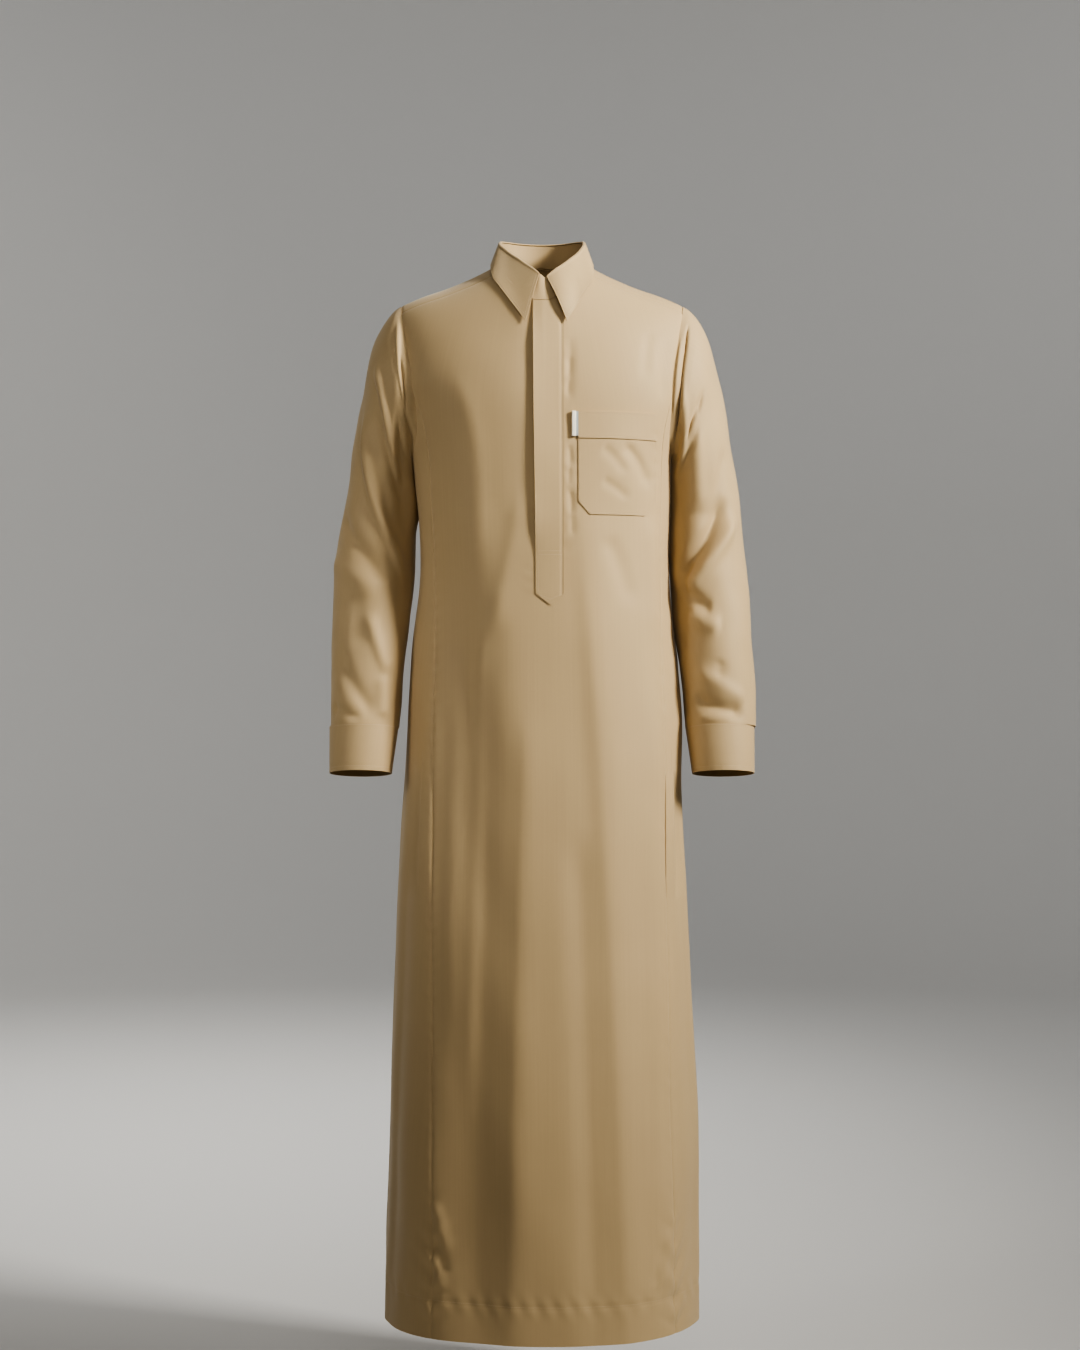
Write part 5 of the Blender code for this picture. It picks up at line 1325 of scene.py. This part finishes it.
def bar_points():
    """The tab's bar: a rounded oblong ring, carried up its height and drawn in at both ends.

    The ring is a superellipse, and the ends shrink it along a quarter circle.
    """
    turn = np.linspace(0.0, 2.0 * math.pi, TAB_BAR_SIDES, endpoint=False)
    power = 2.0 / TAB_BAR_ROUNDNESS
    ring_across = np.sign(np.cos(turn)) * np.abs(np.cos(turn)) ** power
    ring_out = np.sign(np.sin(turn)) * np.abs(np.sin(turn)) ** power
    bend = np.linspace(0.0, math.pi / 2.0, TAB_BAR_CORNER_STEPS)
    draw = TAB_BAR_CORNER * (1.0 - np.sin(bend))
    lift = TAB_BAR_CORNER * (1.0 - np.cos(bend))
    inset = np.concatenate((draw, draw[::-1]))[:, None]
    height = np.concatenate((lift, TAB_HEIGHT - lift[::-1])) - TAB_HEIGHT / 2.0
    start, across, out = tab_frame()
    low, high = TAB_BAR_OUT
    reach = (TAB_BAR_WIDTH / 2.0 - inset) * ring_across
    depth = ((high - low) / 2.0 - inset) * ring_out
    centre = start + across * TAB_BAR_WIDTH / 2.0 + out * (low + high) / 2.0
    return centre + across * reach[..., None] + out * depth[..., None] + UP * height[:, None, None]


def wing_points():
    """The tab's thin wing: a flat strip from behind the bar over the band's end."""
    rows, columns = TAB_WING_GRID
    start, across, out = tab_frame()
    along = np.linspace(TAB_BAR_WIDTH - TAB_WING_TUCK, TAB_WIDTH, columns)
    height = (np.linspace(0.0, 1.0, rows) - 0.5) * (TAB_HEIGHT - TAB_WING_SHORTER)
    return start + out * TAB_WING_OUT + across * along[None, :, None] + UP * height[:, None, None]


def grid_line(points, along, place, closed=False):
    """A line between two of a piece's rows or columns, and the normals along it on its wall's side.

    A row or column is found by its distance from the first one, or from the last when it is below none;
    a level is found by height, and a share by the part of the columns passed.
    """
    normals = grid_normals(points, closed)
    if along in ("column", "share"):
        points, normals = np.swapaxes(points, 0, 1), np.swapaxes(normals, 0, 1)
    steps = np.linalg.norm(np.diff(points, axis=0), axis=-1).mean(axis=1)
    keys = np.concatenate(([0.0], np.cumsum(steps)))
    if along == "level":
        keys = points[..., 2].mean(axis=1)
    elif along == "share":
        keys = keys / keys[-1]
    elif place < 0.0:
        keys = keys - keys[-1]
    at = np.clip(np.interp(place, keys, np.arange(len(keys))), 0.0, len(keys) - LAST_ROW_MARGIN)
    low = int(at)
    mix = at - low
    line = points[low] * (1.0 - mix) + points[low + 1] * mix
    facing = normals[low] * (1.0 - mix) + normals[low + 1] * mix
    if closed:
        line = np.concatenate((line, line[:1]))
        facing = np.concatenate((facing, facing[:1]))
    return line, facing


def stitch_points(line, facing, start, end, pitch, length, width):
    """Points of every stitch along a line: a capsule of rings round the thread between two tips.

    Each capsule lies in a frame of its own: along the line, across it and out from the cloth.
    """
    steps = np.linalg.norm(np.diff(line, axis=0), axis=-1)
    run = np.concatenate(([0.0], np.cumsum(steps)))
    first, last = start * run[-1], end * run[-1]
    at = np.arange(first + pitch / 2.0, last - pitch / 4.0, pitch)

    def place(values, where):
        """Values along the line, read at a distance from its start."""
        return np.stack([np.interp(where, run, values[:, axis]) for axis in range(3)], axis=-1)

    centre = place(line, at)
    tangent = place(line, at + length / 4.0) - place(line, at - length / 4.0)
    tangent /= np.linalg.norm(tangent, axis=-1, keepdims=True)
    normal = place(facing, at)
    side = np.cross(normal, tangent)
    side /= np.linalg.norm(side, axis=-1, keepdims=True)
    normal = np.cross(tangent, side)
    turn = np.linspace(0.0, 2.0 * math.pi, STITCH_SIDES, endpoint=False)
    ring = np.stack((np.cos(turn), np.sin(turn)), axis=-1) * width / 2.0
    local = [(-length / 2.0, 0.0, 0.0)]
    for share, swell in STITCH_RINGS:
        local += [(share * length, swell * across, swell * out) for across, out in ring]
    local.append((length / 2.0, 0.0, 0.0))
    local = np.array(local)
    frames = np.stack((tangent, side, normal), axis=1)
    return centre[:, None] + np.einsum("kc,scd->skd", local, frames)


def stitch_faces(count):
    """Faces of that many capsules: a fan at each tip and bands between the rings."""
    rings = len(STITCH_RINGS)
    each = STITCH_SIDES * rings + 2
    side = np.arange(STITCH_SIDES)
    after = (side + 1) % STITCH_SIDES
    tips = np.stack((np.zeros_like(side), 1 + after, 1 + side), axis=-1)
    last = 1 + STITCH_SIDES * (rings - 1)
    ends = np.stack((np.full_like(side, each - 1), last + side, last + after), axis=-1)
    bands = []
    for ring in range(rings - 1):
        low, high = 1 + ring * STITCH_SIDES, 1 + (ring + 1) * STITCH_SIDES
        bands.append(np.stack((low + side, low + after, high + after, high + side), axis=-1))
    start = np.arange(count)[:, None, None] * each
    triangles = (np.concatenate((tips, ends)) + start).reshape(-1, 3)
    squares = (np.concatenate(bands) + start).reshape(-1, 4)
    return triangles.tolist() + squares.tolist()


def add_thread(name, lines, finish):
    """One piece of thread: every stitch along the given lines, laid on the cloth pieces' walls."""
    sizes = settings().sizes
    stitches = []
    for line in lines:
        points, wall, closed = GRIDS[line.cloth]
        path, facing = grid_line(points, line.along, line.place, closed)
        path = path + facing * (wall + THREAD_SEAT)
        thread = (sizes.stitch_pitch, sizes.stitch_length, sizes.thread_width)
        stitches.append(stitch_points(path, facing, line.start, line.end, *thread))
    stitches = np.concatenate(stitches)
    mesh = bpy.data.meshes.new(name)
    mesh.from_pydata(stitches.reshape(-1, 3).tolist(), [], stitch_faces(len(stitches)))
    mesh.shade_smooth()
    mesh.materials.append(finish)
    return add_piece(name, mesh, [])


def cloth_map(points, closed=False):
    """Places on the flat cloth in metres: run along the rows from their middle, and up the columns."""
    if closed:
        points = np.concatenate((points, points[:, :1]), axis=1)
    run, rest = row_distance(points)
    height = rise_distance(points)[0].mean(axis=1, keepdims=True)
    return np.stack(((run - rest) / 2.0, np.broadcast_to(height, run.shape)), axis=-1)


# Every cloth piece's grid of points, its wall and whether it closes round, for the thread to follow
GRIDS = {}


def add_cloth(name, points, wall, finish, nodes, closed=False, keep=None):
    """A cloth piece: a sheet through a grid of points, with a wall on the side that its cells face.

    Rows run up a piece and columns to the right as seen from outside, so its wall is on the outer side;
    only the yoke's columns run the other way. keep says which cells are cloth. The border edges are
    marked sharp, so that the cut edge of the wall shades as an edge.
    """
    GRIDS[name] = (points, wall, closed)
    rows, columns = points.shape[:2]
    number = np.arange(rows * columns).reshape(rows, columns)
    if closed:
        number = np.concatenate((number, number[:, :1]), axis=1)
    cells = np.stack((number[:-1, :-1], number[:-1, 1:], number[1:, 1:], number[1:, :-1]), axis=-1)
    flat = cloth_map(points, closed)
    corners = np.stack((flat[:-1, :-1], flat[:-1, 1:], flat[1:, 1:], flat[1:, :-1]), axis=-2)
    if keep is not None:
        cells, corners = cells[keep], corners[keep]
    cells = cells.reshape(-1, 4)
    used, cells = np.unique(cells, return_inverse=True)
    mesh = bpy.data.meshes.new(name)
    mesh.from_pydata(points.reshape(-1, 3)[used].tolist(), [], cells.reshape(-1, 4).tolist())
    mesh.uv_layers.new(name="cloth").data.foreach_set("uv", corners.reshape(-1).astype(np.float32))
    edges = np.empty(len(mesh.loops), dtype=np.int32)
    mesh.loops.foreach_get("edge_index", edges)
    border = np.bincount(edges, minlength=len(mesh.edges)) == 1
    mesh.attributes.new("sharp_edge", "BOOLEAN", "EDGE").data.foreach_set("value", border)
    mesh.shade_smooth()
    mesh.materials.append(finish)
    piece = add_piece(name, mesh, nodes)
    solidify = piece.modifiers.new("Wall", "SOLIDIFY")
    solidify.thickness = wall
    solidify.offset = 1.0
    return piece


def add_piece(name, mesh, nodes):
    """A mesh as a piece of the robe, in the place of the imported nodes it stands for."""
    piece = bpy.data.objects.new(name, mesh)
    bpy.context.scene.collection.objects.link(piece)
    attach(piece, "root")
    if nodes:
        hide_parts(*nodes)
    return piece


def add_tab_bar(finish):
    """The tab's bar as a closed solid: the cells between its rings, and a face over each end."""
    rings = bar_points()
    levels, sides = rings.shape[:2]
    cells = ring_cells(levels, sides)[:, ::-1].tolist()
    foot = list(range(sides))[::-1]
    top = list(range((levels - 1) * sides, levels * sides))
    mesh = bpy.data.meshes.new("tab_bar")
    mesh.from_pydata(rings.reshape(-1, 3).tolist(), [], cells + [foot, top])
    mesh.shade_smooth()
    mesh.materials.append(finish)
    add_piece("tab_bar", mesh, ["pocket_tab"])


def new_finish(name, constants):
    """A material, its node tree and its shader with the given constants."""
    made = bpy.data.materials.new(name)
    made.use_nodes = True
    shader = made.node_tree.nodes["Principled BSDF"]
    for socket, value in constants.items():
        shader.inputs[socket].default_value = value
    return made, made.node_tree, shader


def add_node(tree, kind, sockets, **fields):
    """A node with its fields, and with its sockets set to values or linked from other nodes' sockets."""
    made = tree.nodes.new("ShaderNode" + kind)
    for field, value in fields.items():
        setattr(made, field, value)
    for socket, value in sockets.items():
        if isinstance(value, bpy.types.NodeSocket):
            tree.links.new(value, made.inputs[socket])
        else:
            made.inputs[socket].default_value = value
    return made


def stretched_noise(tree, vector, scale, detail):
    """Noise with its own number of grains a metre along each axis; gives the socket of its strength."""
    stretch = add_node(tree, "Mapping", {"Vector": vector, "Scale": scale})
    grains = {"Vector": stretch.outputs["Vector"], "Scale": 1.0, "Detail": detail}
    return add_node(tree, "TexNoise", grains).outputs["Fac"]


def add_weave(tree, shader, cloth):
    """Slanted ribs of twill and fine fibres, added up and read as a bump."""
    slanted = add_node(tree, "Mapping", {"Vector": cloth, "Rotation": (0.0, 0.0, TWILL_SLANT)})
    scale = 2.0 * math.pi / (WAVE_RADIANS_A_UNIT * TWILL_PITCH)
    ribs = add_node(tree, "TexWave", {"Vector": slanted.outputs["Vector"], "Scale": scale, **RIB_WAVER})
    fibres = stretched_noise(tree, cloth, FIBRES_A_METRE, FINE_DETAIL)
    height = add_node(tree, "Math", {0: ribs.outputs["Fac"], 1: fibres}, operation="ADD")
    relief = add_node(tree, "Bump", {"Height": height.outputs["Value"], **WEAVE_RELIEF})
    tree.links.new(relief.outputs["Normal"], shader.inputs["Normal"])


def add_dye(tree, shader, cloth, colour):
    """Slightly uneven dye: the mean of soft clouds and fine streaks along the warp, as close tones."""
    place = add_node(tree, "TexCoord", {}).outputs["Object"]
    clouds = add_node(tree, "TexNoise", {"Vector": place, "Scale": CLOUDS_A_METRE, "Detail": CLOUD_DETAIL})
    streaks = stretched_noise(tree, cloth, WARP_STREAKS_A_METRE, FINE_DETAIL)
    both = add_node(tree, "Math", {0: clouds.outputs["Fac"], 1: streaks}, operation="ADD")
    mean = add_node(tree, "Math", {0: both.outputs["Value"], 1: 0.5}, operation="MULTIPLY")
    tone = add_node(tree, "ValToRGB", {"Fac": mean.outputs["Value"]})
    for stop, (position, brightness) in zip(tone.color_ramp.elements, DYE_TONES):
        stop.position = position
        stop.color = [min(1.0, channel * brightness) for channel in colour[:3]] + [1.0]
    tree.links.new(tone.outputs["Color"], shader.inputs["Base Color"])


def cloth_finish(name):
    """Twill cloth: fine slanted ribs and fibres as a bump, uneven dye, and a soft sheen."""
    made, tree, shader = new_finish(name, CLOTH_SHADER)
    cloth = add_node(tree, "UVMap", {}, uv_map="cloth").outputs["UV"]
    add_weave(tree, shader, cloth)
    add_dye(tree, shader, cloth, settings().colours.cloth)
    return made


def plain_finish(name, colour, roughness):
    """An even surface with a faint unevenness in its gloss."""
    made, tree, shader = new_finish(name, {"Base Color": colour})
    place = add_node(tree, "TexCoord", {}).outputs["Object"]
    grain = add_node(tree, "TexNoise", {"Vector": place, "Scale": GLOSS_GRAINS_A_METRE})
    gloss = add_node(tree, "MapRange", {
        "Value": grain.outputs["Fac"],
        "To Min": roughness - GLOSS_UNEVENNESS,
        "To Max": roughness + GLOSS_UNEVENNESS,
    })
    tree.links.new(gloss.outputs["Result"], shader.inputs["Roughness"])
    return made


def cove_points(level):
    """Floor and backdrop in one: a disc that curves up all round into an upright wall."""
    bend = np.linspace(0.0, math.pi / 2.0, COVE_BEND_STEPS)
    out = np.concatenate(([COVE_MIDDLE], COVE_FLAT + COVE_BEND * np.sin(bend), [COVE_FLAT + COVE_BEND]))
    up = np.concatenate(([0.0], COVE_BEND * (1.0 - np.cos(bend)), [COVE_HEIGHT]))
    turn = np.linspace(0.0, 2.0 * math.pi, COVE_SIDES, endpoint=False)
    x = out[:, None] * np.cos(turn)
    y = out[:, None] * np.sin(turn)
    return np.stack((x, y, np.broadcast_to(level + up[:, None], x.shape)), axis=-1)


def ring_cells(rows, columns):
    """Faces of a closed grid of rings."""
    number = np.arange(rows * columns).reshape(rows, columns)
    number = np.concatenate((number, number[:, :1]), axis=1)
    cells = np.stack((number[:-1, :-1], number[1:, :-1], number[1:, 1:], number[:-1, 1:]), axis=-1)
    return cells.reshape(-1, 4)


def add_floor(level, colour):
    """The plain floor with its paint."""
    cove = cove_points(level)
    mesh = bpy.data.meshes.new("floor")
    mesh.from_pydata(cove.reshape(-1, 3).tolist(), [], ring_cells(*cove.shape[:2]).tolist())
    mesh.shade_smooth()
    floor = bpy.data.objects.new("floor", mesh)
    bpy.context.scene.collection.objects.link(floor)
    mesh.materials.append(new_finish("floor_paint", {"Base Color": colour, **FLOOR_SHADER})[0])


def add_lamp(lamp):
    """A soft square light, turned to look at its target: tilted up from straight down, then round."""
    data = bpy.data.lights.new(lamp.name, "AREA")
    data.shape = "SQUARE"
    data.size = lamp.size
    data.energy = lamp.power
    data.color = lamp.tint
    data.spread = math.radians(lamp.spread)
    light = bpy.data.objects.new(lamp.name, data)
    bpy.context.scene.collection.objects.link(light)
    light.location = lamp.place
    light.visible_camera = False
    x, y, z = (float(end - start) for start, end in zip(lamp.place, lamp.target))
    light.rotation_euler = (math.atan2(math.hypot(x, y), -z), 0.0, math.atan2(x, -y) + math.pi)


def add_camera():
    """The scene's camera, level and straight in front."""
    camera = bpy.data.objects.new("camera", bpy.data.cameras.new("camera"))
    bpy.context.scene.collection.objects.link(camera)
    camera.data.lens = CAMERA_LENS
    camera.data.sensor_width = CAMERA_FILM_WIDTH
    camera.location = CAMERA_PLACE
    camera.rotation_euler = (math.pi / 2.0, 0.0, 0.0)
    bpy.context.scene.camera = camera


def settings():
    """The sizes and colours that a user would change."""
    return bpy.context.scene.thobe


class ThobeColours(bpy.types.PropertyGroup):
    """Colours of the robe and its stage."""

    cloth: bpy.props.FloatVectorProperty(
        name="Cloth", description="Dye of the twill", subtype="COLOR", size=4, min=0.0, max=1.0,
        default=(0.50, 0.367, 0.202, 1.0))
    thread: bpy.props.FloatVectorProperty(
        name="Thread", description="Sewing thread", subtype="COLOR", size=4, min=0.0, max=1.0,
        default=(0.56, 0.43, 0.27, 1.0))
    tab: bpy.props.FloatVectorProperty(
        name="Tab", description="Bar folded over the pocket band's end", subtype="COLOR", size=4,
        min=0.0, max=1.0, default=(0.90, 0.84, 0.69, 1.0))
    film: bpy.props.FloatVectorProperty(
        name="Tab wing", description="Thin strip beside the bar", subtype="COLOR", size=4,
        min=0.0, max=1.0, default=(0.42, 0.44, 0.42, 1.0))
    floor: bpy.props.FloatVectorProperty(
        name="Floor", description="Plain floor", subtype="COLOR", size=4, min=0.0, max=1.0,
        default=(0.60, 0.59, 0.57, 1.0))
    backdrop: bpy.props.FloatVectorProperty(
        name="Backdrop", description="Light from all round", subtype="COLOR", size=4, min=0.0, max=1.0,
        default=(0.55, 0.54, 0.52, 1.0))


class ThobeSizes(bpy.types.PropertyGroup):
    """Sizes of the fine details."""

    floor_level: bpy.props.FloatProperty(
        name="Floor level", description="Height of the floor below the neck", unit="LENGTH",
        default=-1.56)
    stitch_pitch: bpy.props.FloatProperty(
        name="Stitch pitch", description="Distance from one stitch to the next", unit="LENGTH",
        default=0.0032, min=0.002)
    stitch_length: bpy.props.FloatProperty(
        name="Stitch length", description="Length of thread that shows in one stitch", unit="LENGTH",
        default=0.0024, min=0.001)
    thread_width: bpy.props.FloatProperty(
        name="Thread width", description="Thickness of the sewing thread", unit="LENGTH",
        default=0.0005, min=0.0002)


class THOBE_OT_panels(bpy.types.Operator):
    """Front panel with the slot behind its placket, back panel, side panels and yoke"""

    bl_idname = "thobe.panels"
    bl_label = "Body panels"

    def execute(self, context):
        finish = cloth_finish("body_twill")
        panels = [
            ("front_cloth", "front_panel", front_points(), "hung"),
            ("back_cloth", "back_panel", back_points(), "hung"),
            ("side_cloth_left", "side_panel_left", side_points(-1), "hung"),
            ("side_cloth_right", "side_panel_right", side_points(1), "hung"),
            ("yoke_cloth", "yoke", (yoke_points(), None), "draped"),
        ]
        for name, node, (points, keep), held in panels:
            piece = add_cloth(name, points, BODY_CLOTH, finish, [node], keep=keep)
        return {"FINISHED"}


class THOBE_OT_placket(bpy.types.Operator):
    """Overlap strip down the middle of the front, and the strip behind its slot"""

    bl_idname = "thobe.placket"
    bl_label = "Placket"

    def execute(self, context):
        finish = cloth_finish("placket_twill")
        for name, node, points in (
            ("placket_cloth", "placket", placket_points()),
            ("underlap_cloth", "placket_underlap", underlap_points()),
        ):
            piece = add_cloth(name, points, FINE_CLOTH, finish, [node])
        return {"FINISHED"}


class THOBE_OT_pocket(bpy.types.Operator):
    """Chest pocket, the band over its mouth and the plain tab at the band's end"""

    bl_idname = "thobe.pocket"
    bl_label = "Pocket"

    def execute(self, context):
        finish = cloth_finish("pocket_twill")
        for name, node, points in (
            ("pocket_cloth", "chest_pocket", pocket_points()),
            ("band_cloth", "pocket_band", band_points()),
        ):
            piece = add_cloth(name, points, FINE_CLOTH, finish, [node])
        add_tab_bar(plain_finish("tab_gloss", settings().colours.tab, BAR_ROUGHNESS))
        film = plain_finish("tab_film", settings().colours.film, WING_ROUGHNESS)
        add_cloth("tab_wing", wing_points(), TAB_WING_WALL, film, [])
        return {"FINISHED"}


class THOBE_OT_collar(bpy.types.Operator):
    """Collar stand round the neck and the fall that turns over it"""

    bl_idname = "thobe.collar"
    bl_label = "Collar"

    def execute(self, context):
        finish = cloth_finish("collar_twill")
        for name, node, points in (
            ("stand_cloth", "collar_stand", stand_points()),
            ("fall_cloth", "collar_fall", fall_points()),
        ):
            piece = add_cloth(name, points, FINE_CLOTH, finish, [node])
        return {"FINISHED"}


class THOBE_OT_sleeves(bpy.types.Operator):
    """Both sleeves and their cuffs"""

    bl_idname = "thobe.sleeves"
    bl_label = "Sleeves and cuffs"

    def execute(self, context):
        sleeve_finish = cloth_finish("sleeve_twill")
        cuff_finish = cloth_finish("cuff_twill")
        for word, side, folds in (("left", -1, LEFT_SLEEVE_FOLDS), ("right", 1, RIGHT_SLEEVE_FOLDS)):
            for name, node, rings, finish, slot in (
                ("sleeve_cloth_", "sleeve_", sleeve_points(side, folds), sleeve_finish, "sleeve_cloth"),
                ("cuff_cloth_", "cuff_", cuff_points(side), cuff_finish, "cuff_cloth"),
            ):
                grid = (rings if side < 0 else rings[:, ::-1])[::-1]
                piece = add_cloth(name + word, grid, BODY_CLOTH, finish, [node + word], closed=True)
        return {"FINISHED"}


class THOBE_OT_thread(bpy.types.Operator):
    """Lines of stitches along the hems, seams, placket, pocket, collar and cuffs"""

    bl_idname = "thobe.thread"
    bl_label = "Stitching"

    def execute(self, context):
        finish = plain_finish("sewing_thread", settings().colours.thread, THREAD_ROUGHNESS)
        for part, lines in STITCHES.items():
            add_thread(part + "_stitches", lines, finish)
        return {"FINISHED"}


class THOBE_OT_stage(bpy.types.Operator):
    """Plain pale floor, soft studio light and the camera"""

    bl_idname = "thobe.stage"
    bl_label = "Stage"

    def execute(self, context):
        scene = context.scene
        colours = settings().colours
        scene.world = bpy.data.worlds.new("studio")
        scene.world.use_nodes = True
        backdrop = scene.world.node_tree.nodes["Background"]
        backdrop.inputs["Color"].default_value = colours.backdrop
        backdrop.inputs["Strength"].default_value = BACKDROP_STRENGTH
        scene.view_settings.view_transform = "AgX"
        scene.view_settings.look = "AgX - High Contrast"
        add_floor(settings().sizes.floor_level, colours.floor)
        for lamp in LAMPS:
            add_lamp(lamp)
        add_camera()
        return {"FINISHED"}


class THOBE_PT_panel(bpy.types.Panel):
    """Buttons for each group of pieces, in order"""

    bl_idname = "THOBE_PT_panel"
    bl_label = "Thobe robe"
    bl_space_type = "VIEW_3D"
    bl_region_type = "UI"
    bl_category = "Thobe"

    def draw(self, context):
        for operator in OPERATORS:
            self.layout.operator(operator.bl_idname)
        for group in (settings().sizes, settings().colours):
            for name in group.__annotations__:
                self.layout.prop(group, name)


class ThobeSettings(bpy.types.PropertyGroup):
    """Everything that a user would change on the robe."""

    sizes: bpy.props.PointerProperty(type=ThobeSizes)
    colours: bpy.props.PointerProperty(type=ThobeColours)


OPERATORS = (
    THOBE_OT_panels,
    THOBE_OT_placket,
    THOBE_OT_pocket,
    THOBE_OT_collar,
    THOBE_OT_sleeves,
    THOBE_OT_thread,
    THOBE_OT_stage,
)
CLASSES = (ThobeColours, ThobeSizes, ThobeSettings) + OPERATORS + (THOBE_PT_panel,)


def register():
    for made in CLASSES:
        bpy.utils.register_class(made)
    bpy.types.Scene.thobe = bpy.props.PointerProperty(type=ThobeSettings)


def unregister():
    del bpy.types.Scene.thobe
    for made in reversed(CLASSES):
        bpy.utils.unregister_class(made)


def main():
    """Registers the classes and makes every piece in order."""
    register()
    for operator in OPERATORS:
        group, call = operator.bl_idname.split(".")
        getattr(getattr(bpy.ops, group), call)()


if __name__ == "__main__":
    main()
